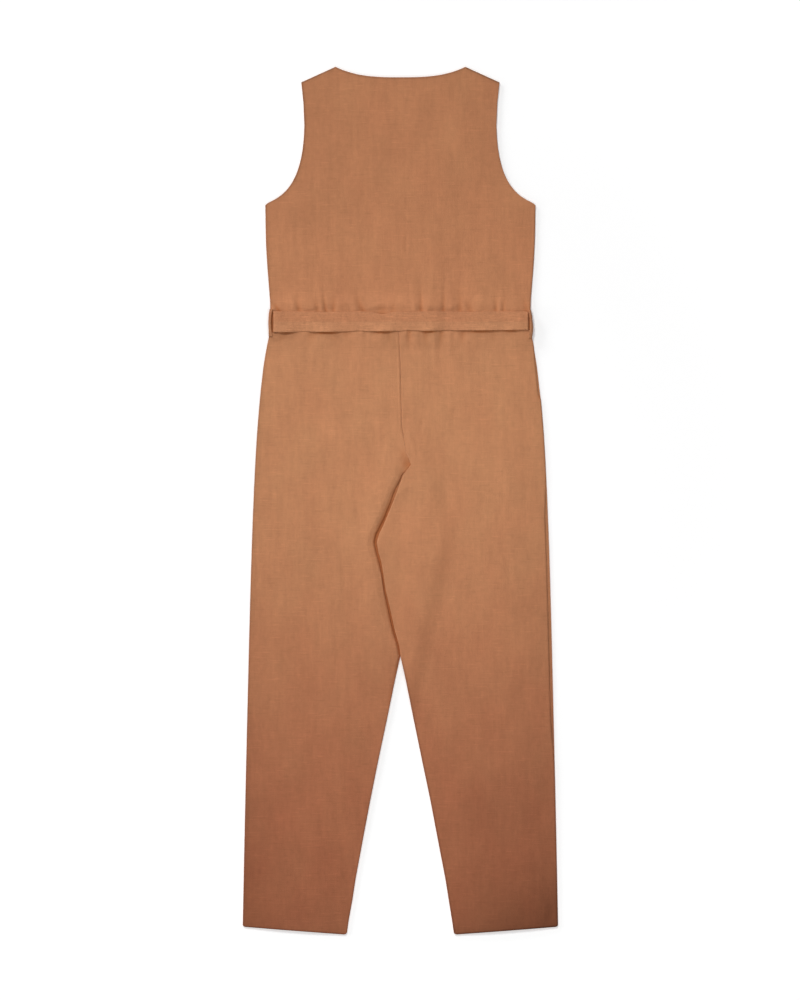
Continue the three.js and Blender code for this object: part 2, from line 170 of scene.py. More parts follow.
# Inner edges: height, left leg, right leg. The right leg lies on the left one below the fork.
INNER = [
    (290, -3, -3), (217, 0, 0), (119, 2.5, 2.5), (79, 9, 9), (FORK, 17, 17), (41, 21, 2.5),
    (12, 28, -12), (-25, 36, -26.5), (-52, 42, -41), (-62, 43, -43), (-86, 38, -38),
    (-112, 30, -30), (-141, 25, -25), (-175, 18, -18), (-215, 8, -8), (GAP_APEX, 0, 0),
    (-289, -8.5, 8.5), (-354, -21.8, 21.5), (-418, -35.4, 34.6), (-483, -48.4, 48.2),
    (-547, -60.5, 60.3), (-612, -72.5, 72.8), (-644, -77.3, 77.8), (-676, -83.2, 83),
    (HEM, -86.5, 86.5),
]

# Right side seam: height, how far the front leg shows past the back one, inset of the back
# leg, and rise of the front leg's edge
SEAM_ROLL = [
    (250, 0, 0, 0), (241, -0.8, 1, 0), (222, -0.8, 2.6, 0), (180, -0.8, 3.4, 0), (169, -0.6, 2.6, 0),
    (164, -0.2, 0, 0), (41, 0, 0, 0), (-25, 0, 4.5, 0), (-52, 0, 4.5, 0.4), (-289, 0, 4.5, 0.4),
    (-350, 0, 4.5, 0), (-430, 0, 0, 0),
]

# The fold at the crotch: height, edge of the right leg, bottom of the fold, crest of the left
# leg beside it, part of its rise that is steep, how high the left leg stands there
FOLD = [
    (125, 2.5, 2.4, -20, 0.5, 0.0), (100, 6, 5.9, -14, 0.5, 1.4), (79, 9, 8.9, -10, 0.5, 3.2),
    (58, 17, 16.9, -4, 0.5, 4.0), (41, 4, 2.6, -4, 0.5, 4.2), (36, 2.7, 1.1, -5, 0.7, 4.4),
    (24, -2.3, -4.7, -11, 0.65, 4.3), (11, -7, -10.6, -17.5, 0.62, 4.1), (-2, -12, -14.8, -22, 0.65, 4.0),
    (-15, -17.3, -20.3, -27.5, 0.65, 4.1), (-28, -22.8, -25.3, -33, 0.65, 4.2),
    (-41, -28.3, -32, -39, 0.65, 4.4),
    (-54, -34.6, -38.6, -44, 0.7, 4.8), (-67, -38.4, -41.5, -46, 0.7, 4.8),
    (-83, -35.6, -38, -43, 0.7, 4.8), (-99, -30.9, -33.4, -39, 0.7, 4.8), (-120, -27.4, -29, -32, 0.8, 4.7),
    (-144, -24, -25.7, -28.7, 0.8, 4.7), (-176, -16.3, -18.5, -24, 0.75, 5.0),
    (-209, -9.3, -11.3, -17, 0.75, 5.0), (-233, -2.2, -4, -8, 0.8, 4.6), (-244, -0.6, -2, -5, 0.8, 4.0),
    (-252, 0.5, -1, -4, 0.7, 3.3), (-275, -5, -5.4, -12, 0.5, 1.6), (-320, -14, -15, -24, 0.5, 0.0),
]
FOLD_OPENS = (55, 37)
FOLD_STEEP = 2.2
BANK_REACH = 30
FOLD_GENTLE = 0.4
BANK_END = (-0.4, 1.4)
BANK_HIDDEN = (58, 55)
UNDER_LEG = 2.5
UNDER_LEG_FROM = (58, 52)
# Columns of the left back leg: where their spacing changes beside the fold, and their numbers
FOLD_TO_EDGE = 9
FOLD_STOPS = (-60, -14, 2)
FOLD_COUNTS = (24, 20, 36, 22)

# Creases, ridges above zero and troughs below: start x and y, end x and y, bow to the left,
# width at the start and at the end, height. Gathers start at the belt.
BODICE_GATHERS = [
    (-204, 306, -212, 330, 0, 3, 5, 1.0), (-163, 304, -166, 345, 1, 4, 6, -2.2),
    (-172, 304, -177, 352, 0, 5, 9, 1.2), (-134, 304, -137, 338, 0, 3, 5, -1.6),
    (-126, 304, -146, 388, -5, 3, 6, 2.0), (-120, 304, -124, 350, 2, 2.6, 5, -2.9),
    (-108, 304, -104, 348, 0, 2.8, 7, -2.0), (-99, 304, -97, 348, 0, 4, 8, 1.0),
    (-60, 304, -74, 352, 2, 4, 6, -2.9), (-70, 304, -86, 345, 2, 4, 7, 1.5),
    (-30, 301, -27, 322, 0, 9, 6, -1.6), (-12, 302, -11, 330, 0, 4, 5, -1.2),
    (23, 304, 20, 415, 2, 3.5, 5, 1.5), (33.5, 304, 34, 388, 0, 2.8, 6, -3.0),
    (45, 304, 50, 386, -2, 4.5, 7, 1.6), (69, 304, 72, 412, -1, 3, 6, -2.4),
    (81, 304, 83, 350, 0, 4, 6, 1.0), (96, 304, 99, 402, 0, 4, 9, -2.2),
    (113, 304, 110, 340, 2, 5, 5, -1.6), (127, 304, 130, 345, 0, 5, 8, 1.0),
    (154, 304, 156, 350, 0, 3.6, 6, -2.0), (160, 304, 163, 350, 0, 3, 6, 0.9),
    (166, 304, 171, 344, 1, 3, 5, -1.6), (186, 304, 182, 345, 1, 5, 6, 0.9),
    (203, 304, 198, 345, 0, 3, 6, -2.2),
]
BODICE_CREASES = [
    (-193, 303, -206, 322, 1, 2.6, 3, -3.2), (-202, 304, -211, 318, 0, 2, 2, 1.6),
    (9, 398, 10, 443, 0, 3, 4, -0.8), (58, 440, 52, 360, 2, 9, 9, 0.5),
    (98, 440, 95, 350, 2, 9, 9, -0.55), (-136, 430, -128, 350, 3, 10, 9, -0.4),
    (-34, 420, -40, 350, 3, 11, 9, 0.45), (142, 430, 140, 350, 3, 9, 9, 0.45),
    (-176, 438, -172, 408, 1, 3, 4, 0.8), (-150, 420, -90, 395, 8, 9, 12, -0.6),
    (150, 470, 100, 430, -6, 10, 14, -0.4), (-120, 640, -108, 560, 2, 9, 14, -0.35),
    (-70, 560, -76, 470, 3, 10, 14, 0.35), (96, 620, 84, 520, -3, 10, 16, 0.3),
]
LEG_GATHERS = {"left": [
    (-181, 274, -201, 243, -3, 3, 4, -2.4), (-189, 275, -206, 255, -2, 4, 5, 1.2),
    (-141, 275, -146, 242, 0, 4, 6, -2.2), (-128, 275, -132, 232, 0, 5, 8, 0.9),
    (-86, 276, -87, 250, 0, 4, 5, -1.6), (-62, 276, -66, 152, 1, 4, 8, 1.6),
    (-106, 275, -104, 222, 0, 5, 9, -0.9), (-30, 275, -32, 236, 0, 4, 6, 1.2),
    (-18, 275, -17, 246, 0, 4, 5, -1.3),
], "right": [
    (14, 275, 17, 232, -1, 3.6, 5, -2.2), (27, 275, 30, 226, -1, 4, 5, 1.2),
    (40, 275, 43, 236, 0, 3.6, 5, -2.2), (54, 276, 54, 186, 1, 4, 6, 1.8),
    (66, 275, 64, 218, 0, 4, 5, -2.0), (80, 276, 81, 206, 0, 4, 5, 1.5),
    (101, 275, 99, 240, 0, 4, 5, -2.0), (116, 275, 116, 236, 0, 5, 7, 0.8),
    (151, 275, 147, 240, 0, 5, 7, -0.9),
]}
LEG_CREASES = {"left": [
    (-54, 140, -53, 118, 0, 4, 4, -0.7), (-120, 108, -20, 103, -4, 5, 6, 0.45),
    (-60, 136, 4, 134, 0, 3, 3, -0.45), (-110, 20, -46, -6, 6, 6, 6, -0.5),
    (-96, -112, -74, -174, 2, 5, 7, -0.5), (-150, -60, -60, -70, 4, 12, 16, 0.35),
], "right": [
    (35, 128, 33, 106, 0, 4, 4, -0.7), (88, 150, 84, 128, 0, 5, 4, -0.7),
    (14, 112, 26, 64, 0, 3, 4, 0.6), (4, 134, 30, 134, 0, 3, 3, -0.45),
    (-4, 12, 44, 15, 9, 5, 6, 0.6), (22, 2, 44, -22, 4, 4, 4, -0.5),
    (44, 36, 24, 46, 0, 7, 5, -0.6), (84, 52, 112, 28, 3, 6, 8, -0.35),
    (130, -70, 118, -170, 2, 14, 18, 0.35), (220, -598, 168, -612, 0, 9, 10, -0.7),
    (248, -660, 232, -690, 0, 6, 6, -0.8),
]}
# Soft dents and puffs: x, y, half width across, half length along, height
LEG_DENTS = {"left": [
    (15.5, 60, 9, 9, -1.6),
    (-8, 58, 10, 12, 0.8),
    (-155, 270, 9, 5, 1.3),
    (-68, 270, 9, 5, 1.1),
    (-206, 268, 7, 7, 0.8),
], "right": [
    (-10, -20, 16, 26, 0.5),
    (-34, -50, 5, 10, -1.1),
    (-28, -92, 4, 12, -0.5),
    (14, 270, 9, 5, 1.3),
    (73, 270, 7, 5, 1.1),
    (221, 190, 6, 17, 1.3),
    (204, 268, 7, 7, 0.8),
]}
# Hidden side: shallow hollows in the front of the garment
FRONT_BODICE_CREASES = [
    (-150, 303, -158, 372, 2, 7, 10, 1.0), (-108, 303, -104, 350, 0, 6, 9, 0.8),
    (-70, 303, -78, 384, 3, 7, 11, 1.1), (-34, 303, -30, 345, 0, 6, 8, 0.8),
    (28, 303, 26, 352, 0, 6, 9, 0.9), (62, 303, 72, 390, -2, 7, 11, 1.1),
    (118, 303, 114, 346, 0, 6, 9, 0.8), (156, 303, 166, 366, 0, 6, 10, 1.0),
    (-176, 470, -120, 440, 5, 9, 13, 0.7), (178, 468, 126, 432, -5, 9, 13, 0.7),
]
FRONT_LEG_CREASES = [
    (-160, 276, -154, 206, 1, 6, 10, 0.9), (-118, 276, -122, 236, 0, 6, 8, 0.8),
    (-74, 276, -70, 184, -2, 6, 10, 1.0), (-32, 276, -36, 230, 0, 5, 8, 0.7),
    (-24, 130, -66, 96, 3, 7, 11, 0.8), (-30, 92, -90, 84, 3, 7, 11, 0.7),
    (36, 276, 40, 214, 0, 6, 9, 0.8), (82, 276, 76, 190, 2, 6, 10, 1.0),
    (124, 276, 128, 240, 0, 6, 8, 0.7), (166, 276, 160, 210, 0, 6, 10, 0.9),
    (30, 128, 74, 94, -3, 7, 11, 0.8), (60, -20, 110, -34, 3, 8, 12, 0.6),
    (-150, -200, -120, -260, 3, 12, 16, 0.6), (160, -230, 134, -300, 3, 12, 16, 0.6),
]
# Painted light and shade: where a soft spot of painted shade deepens the colour at the fork, the pocket
# and the hems, and where painted light and shade make the cloth a little lighter or darker, in the form of
# the dents. The last column is the depth of the painted shade, or for SHADES the change in painted light,
# not a height.
FORK_SHADE = [(5, 74, 6, 8, 0.25), (12.5, 58, 8.5, 10, 0.72), (3, 43, 6, 6, 0.2)]
SHADE_SPOTS = [(223.6, 168, 1.5, 3.4, 0.9), (250, -730, 110, 80, 0.32), (-250, -690, 45, 110, 0.15)]
SHADES = [
    (-150, 600, 62, 120, -0.075), (90, 600, 90, 120, 0.03), (0, 35, 46, 75, -0.04),
    (-95, -545, 60, 110, 0.08), (200, -500, 75, 105, -0.06), (240, -730, 115, 95, -0.42),
    (-250, -560, 45, 170, -0.12), (-250, -710, 50, 60, -0.08), (250, -640, 26, 70, -0.08),
    (195, 410, 55, 80, 0.06), (190, 190, 60, 120, 0.05), (-175, 485, 45, 45, -0.06),
    (115, -715, 60, 32, -0.14),
]
# Painted shade along the edges: how far in from an edge the cloth is painted darker, and by how
# much where the edge faces right, where it faces left, and at the shoulders
RIM_REACH = 2.6
RIM_SHADE = 0.15
LEFT_RIM_SHADE = 0.36
SHOULDER_RIM_SHADE = 0.6
# Painted shade in the slits where the belt goes under its loops, over the loops, and along their outer
# edges
SLIT_SHADE = -0.3
LOOP_SHADE = -0.1
LOOP_RIM_SHADE = 0.25
INSEAM_SHOWS = (GAP_APEX + 4, GAP_APEX - 20)

# Where painted shade deepens and reddens the colour, and how much: the trough that is deepest,
# gathers above and below the belt, the fold, and the painted shadow under the belt's waves
DEEP_TROUGH = 4
BODICE_SHADE_FROM = (352, 306)
LEG_SHADE_FROM = (230, 272)
FOLD_SHADE_POWER = 1.4
FOLD_SHADE_ENDS = 0.35
FOLD_SHADE_ZONE = ((46, -30), (GAP_APEX - 8, GAP_APEX + 4))
FOLD_SHADE_FROM = (48, 38)
UNDER_BELT = (-4.0, -2.4)
FULL_LIFT = 0.7

# Cloth beside the belt: what is left of the loft and the creases, and the puff above the belt
PRESSED_AT_BELT = 0.35
PRESSED_REACH = 24
PUFF = (0.5, 1.2)
PUFF_REACH = 12
PUFF_WAVES = [(5.5, 17, 1), (3, 7.3, 0)]
PUFF_DROP = 0.2
PUFF_DROP_AT = (315, 350)
FLATTENED = 0.25
FOLD_RISE = 2.6
GATHER_REACH = 10
GATHER_REST = 0.3
CREASE_FADE = (1.02, 0.25)
CREASE_START = 0.55
CREASE_SWELL = 0.15

# Belt: dips of its upper edge and waves of its lower edge as x, half width, size
BELT_DIPS = [(-29, 14, 4.5), (18, 12, 0.8), (110, 20, 0.6), (-120, 22, 0.7), (-213, 5, 5), (213, 6, 7)]
BELT_WAVES = [(-184, 12, 0.6), (-155, 8, -0.9), (-118, 18, 0.9), (-68, 10, -0.9), (-28, 14, 0.9),
              (12, 8, -1.0), (46, 11, 0.8), (76, 7, -0.8), (132, 26, 0.7), (178, 12, 0.6)]
BELT_SLOPE_LEFT = (-203.6, -205.6)
BELT_SLOPE_RIGHT = (205.2, 207.0)
BELT_SLOPE_DROP = 2.6
BELT_SIDE = WAIST_HALF + 0.65
BELT_EDGE_LIFT = 0.65 * BELT_SLOPE_DROP
BELT_LIFT_AT = (165, 203)
BELT_STAND_OFF = 3.0
WAVE_DROP = 0.75
BELT_CURL_WIDTH = 13
BELT_LEAST_CURL = -0.25
BELT_UNEVEN = 0.16
BELT_LIFT = 0.1
BELT_LOOSE_FROM = 205
BELT_LOOSE_EASE = 14
BELT_EDGE_ROUND = 0.8
BELT_COLUMNS = np.array([0, 0.1, 0.35, 0.8, 1.6, *np.linspace(3, 29, 11), 30.4, 31.2, 31.65, 31.9, 32])
# Points along the belt's front and back runs: where the runs end, and their steps
FRONT_RUN = 205
BACK_RUN = 200
FRONT_STEP = 6
BACK_STEP = 2.4
SIDE_STEP = 0.8
# Where painted shade darkens the belt in the slits where it goes under its loops
SLIT_LEFT = (-203.8, -205.2)
SLIT_RIGHT = (205.4, 206.6)
SLIT_ABOVE = 3

# Belt loops: height along the side, how far the strip stands out from the garment's side, how
# high it bows over the cloth, and where its inner end lies on the back
LOOP_FOOT = 0.9
LOOP_TURN = 0.9
LOOP_TURN_SHARE = 0.4
LOOP_TURN_CLEAR = 0.2
LOOP_RISE = 0.15
LOOP_SHARES = (0.25, 0.5, 0.7, 0.84, 0.93, 0.98, 1)
LOOP_ENDS = (9, 6)
LEAST_EDGE = 0.02
LOOP_LEFT = [
    (309, 0.35, 0.1, 206.4), (304.5, 1.0, 1.3, 206.8), (300, 1.85, 1.7, 207.8), (286, 2.5, 1.9, 208.9),
    (276, 2.1, 1.8, 208.2), (271, 1.95, 1.3, 207.4), (264.5, 1.9, 0.2, 206.4),
]
LOOP_RIGHT = [
    (307.5, 0.3, 0.1, 207.0), (303, 0.8, 1.2, 207.4), (298, 1.85, 1.7, 208.0), (292, 2.2, 2.0, 208.6),
    (286, 3.0, 2.3, 209.0), (280, 3.5, 2.3, 209.0), (274, 3.4, 2.0, 208.4), (268, 2.7, 1.2, 206.8),
    (261.5, 1.7, 0.3, 206.6),
]
LOOPS = [("belt_loop_left", -1, LOOP_LEFT), ("belt_loop_right", 1, LOOP_RIGHT)]

# Colours as the photo shows them in even light, sRGB 0 to 1
LINEN_COLOUR = (0.745, 0.5115, 0.3565)
BELT_COLOUR = (0.744, 0.512, 0.360)
# Painted shade: the bodice a little darker and redder, and the hems redder, where the light is dimmer
BODICE_SHADE_TINT = (0.99, 0.940, 0.930)
HEM_SHADE_TINT = (1.015, 0.800, 0.822)
# Painted shade: the darker, redder colour put into the gathers' troughs, the fold, the fork, the belt's
# shadow, the slits, the pocket and the hem corners
DEEP_SHADE_TINT = (0.84, 0.62, 0.42)
SHEEN_COLOUR = (0.93, 0.78, 0.66)
# Where the hems' painted shade starts and is full, in metres, and its patches: counts a metre and depth
HEM_SHADE_SPAN = (0.12, -0.72)
PATCHES = (17, 11, 14)
PATCH_DEPTH = 0.55

# Noise in the cloth: counts a metre along x, y and z, detail and roughness
NOISES = {
    "warp": ((620, 26, 200), 3.0, 0.6),
    "weft": ((24, 640, 200), 3.0, 0.6),
    "cloud": ((20, 15, 20), 3.0, 0.55),
    "streaks": ((110, 19, 60), 2.0, 0.6),
    "mottle": ((150, 110, 120), 3.0, 0.6),
    "speck": ((420, 420, 420), 2.0, 0.6),
    "slub_along": ((540, 34, 150), 1.5, 0.5),
    "slub_across": ((42, 500, 150), 1.5, 0.5),
}
BELT_NOISES = {"slub_along": ((30, 560, 150), 1.5, 0.5)}
# How much each noise changes the lightness, in the garment and in the belt
LIGHTNESS = [
    ("warp", 0.04, 0.04), ("weft", 0.05, 0.22), ("cloud", 0.21, 0.21), ("streaks", 0.20, 0.20),
    ("mottle", 0.21, 0.36), ("speck", 0.05, 0.30),
]
# Where slubs start and are full in their noise, and their lightness in the garment and the belt
SLUBS = [
    ("slub_along", 0.60, 0.70, 0.03, 0.14), ("slub_across", 0.62, 0.71, 0.08, 0.12),
    ("slub_across", 0.38, 0.29, -0.06, -0.06),
]
PLAIN_LIGHTNESS = 0.985
# Relief: phase of the threads a metre, how they wander, their share beside the thicker ones
THREADS = 2 * math.pi / 0.00075
THREAD_BENDS = (90, 90, 90)
THREAD_BEND = 3.0
WEAVE_SHARE = 0.25
RELIEF_STRENGTH = 0.34
RELIEF_HEIGHT = 0.0004

# The floor glows faintly, more where the lights fall off, so that it stays an even white. Each
# row holds the factors of 1, y, y squared and so on, and belongs to one more power of x.
GLOW = [
    (0.203, -0.230, 0.730, 0.065, -0.547), (0.008, 0.075, 0.141, 0.018), (0.715, 0.014, -0.762),
    (0.140, 0.111), (-0.243,),
]
GLOW_REACH_X = 0.66
GLOW_REACH_Y = 0.82
FLOOR_GREY = 0.86
FLOOR_HALF = 15.0
FLOOR_DROP = 0.0003

# Lights: a soft key from the upper left that falls off towards the hems, a low one that rakes
# over the folds, one from the left side and a small one over the waist. Each has its place and
# its target in metres, its power and the size of its disk.
LIGHTS = [
    ("key", (-1.501, 3.319, 3.312), (-2.966, 3.0, 0), 196, 1.6),
    ("low", (-2.5, 3.1, 0.88), (0.3, -1.0, 0), 67, 0.9),
    ("side", (-3.1, -0.45, 0.72), (0.2, -0.3, 0), 22, 0.9),
    ("top", (0.073, 0.03, 0.638), (0.073, 0.03, 0), 2.1, 0.6),
]
WORLD_STRENGTH = 0.12
LENS = 100
SENSOR = 36
CLIP_END = 60
CAMERA_HEIGHT = 4.4837
PICTURE_CENTRE = (-0.000645, 0.00105)


def ramp(value, start, end):
    """A soft step from 0 to 1 as value goes from start to end, in either direction."""
    t = np.clip((value - start) / (end - start), 0, 1)
    return t * t * (3 - 2 * t)


def within(value, first, second):
    """A soft zone: two soft steps multiplied, each from where it is 0 to where it is 1."""
    return ramp(value, *first) * ramp(value, *second)


def lerp(a, b, t):
    return a + (b - a) * t


def straight(table, column, y):
    """A column's value at y, straight from row to row of a table that runs down from high y."""
    rows = np.array(table, float)[::-1]
    return np.interp(y, rows[:, 0], rows[:, column])


def curved(table, column, y):
    """A column's value at y, on a curve through the rows."""
    rows = np.array(table, float)
    heights, values = rows[:, 0], rows[:, column]
    before = np.maximum(np.arange(len(rows)) - 1, 0)
    after = np.minimum(np.arange(len(rows)) + 1, len(rows) - 1)
    slopes = (values[after] - values[before]) / (heights[after] - heights[before])
    i = np.clip(np.searchsorted(-heights, -np.asarray(y, float), side="right") - 1, 0, len(rows) - 2)
    span = heights[i + 1] - heights[i]
    t = np.clip((y - heights[i]) / span, 0, 1)
    return ((2 * t**3 - 3 * t**2 + 1) * values[i] + (t**3 - 2 * t**2 + t) * span * slopes[i]
            + (3 * t**2 - 2 * t**3) * values[i + 1] + (t**3 - t**2) * span * slopes[i + 1])


def creases(table, x, y, gathered=False):
    """Height of a table of creases, each a soft ridge or trough along a bowed line.

    Gathers are highest at their start, by the belt, and low from GATHER_REACH on.
    """
    height = np.zeros_like(x)
    for x0, y0, x1, y1, bow, width0, width1, size in table:
        run = math.hypot(x1 - x0, y1 - y0)
        tx, ty = (x1 - x0) / run, (y1 - y0) / run
        reach = (x - x0) * tx + (y - y0) * ty
        t = np.clip(reach / run, 0, 1)
        beyond = reach - t * run
        across = (y - y0) * tx - (x - x0) * ty - bow * 4 * t * (1 - t)
        width = lerp(width0, width1, t)
        if gathered:
            swell = lerp(GATHER_REST, 1, np.exp(-np.maximum(reach, 0) / GATHER_REACH))
        else:
            swell = lerp(CREASE_START, 1, ramp(t, 0, CREASE_SWELL))
        fade = ramp(t, *CREASE_FADE) * swell
        height += size * fade * np.exp(-(across / width) ** 2 - (beyond / width) ** 2)
    return height


def dents(table, x, y):
    height = np.zeros_like(x)
    for x0, y0, across, along, size in table:
        height += size * np.exp(-((x - x0) / across) ** 2 - ((y - y0) / along) ** 2)
    return height


def bumps(table, x):
    return sum(size * np.exp(-((x - x0) / width) ** 2) for x0, width, size in table)


def waviness(x, y, seed):
    """Very shallow, broad unevenness of cloth that lies loose, from -1 to 1 or so."""
    rng = np.random.default_rng(seed)
    height = np.zeros_like(x)
    for wave in range(WAVE_COUNT):
        length = rng.uniform(*WAVE_LENGTHS)
        angle = rng.normal(0, WAVE_SPREAD) + (math.pi / 2 if wave % CROSS_WAVE == 0 else 0)
        phase = rng.uniform(0, 2 * math.pi)
        height += np.sin((x * math.cos(angle) + y * math.sin(angle)) * 2 * math.pi / length + phase)
    return height / WAVE_SCALE


def belt_rise(x, y):
    """How much the front rises where it lies on the front run of the belt and its lap."""
    from_below = ramp(y, BELT_LOW - BELT_CLEAR - BELT_RUN_UP, BELT_LOW - BELT_CLEAR)
    from_above = ramp(y, BELT_HIGH + BELT_CLEAR + BELT_RUN_UP, BELT_HIGH + BELT_CLEAR)
    lap = 1 - ramp(np.abs(x - LAP_MIDDLE), LAP_REACH, LAP_FADE)
    return LAYER * np.minimum(from_below, from_above) * (1 + lap)


def belt_distance(y):
    return np.maximum(np.maximum(y - BELT_HIGH, BELT_LOW - y), 0)


def pressing(x, y):
    """Part of the loft that is left near the belt. Above it the cloth puffs out at once."""
    reach = sum((size * np.sin(x / length + phase) for size, length, phase in PUFF_WAVES), PUFF_REACH)
    above = lerp(*PUFF, ramp((y - BELT_HIGH) / reach, 0, 1)) - PUFF_DROP * ramp(y, *PUFF_DROP_AT)
    below = lerp(PRESSED_AT_BELT, 1, ramp(belt_distance(y), 0, PRESSED_REACH))
    return np.where(y > WAIST_SEAM, above, below)


def fold_share(y):
    """Part of a crease's height near the belt, which flattens it."""
    return lerp(FLATTENED, 1, ramp(belt_distance(y), 0, FOLD_RISE))


def steps(*stretches):
    """Places along a line from (start, stop, step) stretches, each end once."""
    places = [stretches[0][0]]
    for start, stop, step in stretches:
        count = max(1, round(abs(stop - start) / step))
        places += [start + (stop - start) * (k + 1) / count for k in range(count)]
    return np.array(places, float)


def coarser(stretches, factor):
    return [(start, stop, step * factor) for start, stop, step in stretches]


def edge_share(distance, radius, least=0):
    """Share of a cloth's thickness at a distance in from its round edge."""
    return np.sqrt(1 - (1 - np.clip(distance / radius, least, 1)) ** 2)


def rounded(low, high, distance, radius, meet):
    """Both faces of a cloth brought round to one line at an edge, at the height meet."""
    share = edge_share(distance, radius)
    return meet + (low - meet) * share, meet + (high - meet) * share


def across_places(left, right, shares):
    """x of each column: the border's distances in from both edges, and shares of the rest."""
    start, stop = left + BORDER[-1], right - BORDER[-1]
    middle = start[:, None] + (stop - start)[:, None] * shares[None, 1:-1]
    return np.hstack([left[:, None] + BORDER[None, :], middle, right[:, None] - BORDER[None, ::-1]])


def rim(distance, strength):
    """Painted shade along an edge, where the cloth turns under."""
    return -strength * np.exp(-(distance / RIM_REACH) ** 2)


def gather_shade(folds):
    """How much painted shade deepens the colour in the troughs between the gathers."""
    return np.clip(-folds / DEEP_TROUGH, 0, 1)


def on_front(front_top, space):
    """Underside of the back, as high above the front as the space says and never through it."""
    return front_top + LEAST_SPACE + np.maximum(space + GAP + INSET, 0)


def shell_faces(rows, columns):
    """Quads of both faces of a grid and of the strip round its edge."""
    index = np.arange(rows * columns).reshape(rows, columns)
    corners = index[:-1, :-1], index[:-1, 1:], index[1:, 1:], index[1:, :-1]
    a, b, c, d = (corner.ravel() for corner in corners)
    around = np.concatenate([index[0, :-1], index[:-1, -1], index[-1, :0:-1], index[:0:-1, 0]])
    following = np.roll(around, -1)
    over = rows * columns
    return np.concatenate([
        np.stack([a, d, c, b], -1),
        np.stack([a, b, c, d], -1) + over,
        np.stack([around, following, following + over, around + over], -1),
    ])


def mesh_piece(name, points, faces, material, marks=None):
    mesh = bpy.data.meshes.new(name)
    mesh.from_pydata(points.tolist(), [], faces.tolist())
    mesh.polygons.foreach_set("use_smooth", np.ones(len(faces), bool))
    mesh.materials.append(material)
    for mark, values in (marks or {}).items():
        mesh.attributes.new(mark, "FLOAT", "POINT").data.foreach_set("value", values)
    mesh.update()
    piece = bpy.data.objects.new(name, mesh)
    bpy.context.scene.collection.objects.link(piece)
    return piece


def closed_cloth(node, skins, faces, material, marks):
    """A node's cloth from the x, y, z grids of its two faces. Marks are on the upper face."""
    points = np.concatenate([np.stack(skin, -1).reshape(-1, 3) for skin in skins]) * MM
    marks = {mark: np.concatenate([grid.ravel() * 0, grid.ravel()]) for mark, grid in marks.items()}
    return mesh_piece("cloth_" + node, points, faces, material, marks)


def hand_over(piece, node):
    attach(piece, "root")
    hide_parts(node)


def shell(node, x, y, low, high, material, marks):
    """A closed linen cloth between two grids of heights over the points x, y."""
    piece = closed_cloth(node, ((x, y, low), (x, y, high)), shell_faces(*x.shape), material, marks)
    hand_over(piece, node)
    return piece


def strip(node, under, over, y, material, marks):
    """A closed belt cloth between two grids of x, z points at the heights y."""
    skins = [(skin[..., 0], y, skin[..., 1]) for skin in (under, over)]
    piece = closed_cloth(node, skins, shell_faces(*y.shape)[:, ::-1], material, marks)
    hand_over(piece, node)
    return piece


# Bodice
def side_rows(factor):
    """Half width and height of each bodice row, up the side and round the armhole."""
    heights = steps(*coarser(BODICE_ROWS, factor))
    side = np.stack([curved(SIDE, 1, heights), heights], -1)
    t = steps((0, 1, ARMHOLE_STEP * factor))[1:, None]
    p0, p1, p2, p3 = (np.array(p, float) for p in ARMHOLE_CURVE)
    armhole = p0 * (1 - t) ** 3 + p1 * 3 * t * (1 - t) ** 2 + p2 * 3 * t**2 * (1 - t) + p3 * t**3
    upper_end, tip_end = np.array(UPPER_ARMHOLE), np.array(SHOULDER_TIP)
    upper = [lerp(p3, upper_end, share) for share in UPPER_SHARES]
    tip = [lerp(upper_end, tip_end, share) for share in TIP_SHARES]
    return np.concatenate([side, armhole, upper, tip])


def top_edge(x, neck_depth):
    """Height of the neckline and the shoulders."""
    across = np.abs(x)
    neck = NECK_TOP - neck_depth * (1 - np.clip(across / NECK_HALF, 0, 1) ** 3)
    tip_x, tip_y = SHOULDER_TIP
    shoulder = NECK_TOP + (across - NECK_HALF) / (tip_x - NECK_HALF) * (tip_y - NECK_TOP)
    return np.where(across < NECK_HALF, neck, shoulder)


# The points of a bodice, and for each row half its width and its height at the side
Bodice = namedtuple("Bodice", "neck_depth x y half heights")


def bodice_grid(neck_depth, side, column_step, factor):
    """Points of the back, with side 0, or of the left or right front, with side -1 or 1."""
    rows = side_rows(factor)
    half, heights = rows[:, 0], rows[:, 1]
    left = -half if side <= 0 else np.full_like(half, SEAM_HALF_GAP)
    right = half if side >= 0 else np.full_like(half, -SEAM_HALF_GAP)
    count = round((right[0] - left[0]) / column_step)
    x = across_places(left, right, np.linspace(0, 1, count + 1))
    weight = ramp(heights, SHAPING_FROM, SHOULDER_TIP[1])[:, None]
    widen = (SHOULDER_TIP[0] / half)[:, None]
    y = heights[:, None] + weight * (top_edge(x * widen, neck_depth) - SHOULDER_TIP[1])
    return Bodice(neck_depth, x, y, half[:, None], heights[:, None])


def to_top(bodice):
    """Distance of the upper rows' points from the neckline and the shoulders."""
    edge = top_edge(bodice.x * SHOULDER_TIP[0] / bodice.half, bodice.neck_depth)
    return np.where(bodice.heights > UPPER_ROWS, edge - bodice.y, FAR)


def bodice_space(bodice):
    """Space between front and back of the bodice, before the creases."""
    across = ramp(bodice.half - np.abs(bodice.x), 0, EDGE_EASE)
    near_top = lerp(TOP_LOFT, 1, ramp(bodice.y, NECK_TOP, NECK_TOP - TOP_EASE))
    return LOFT * across * near_top * pressing(bodice.x, bodice.y)


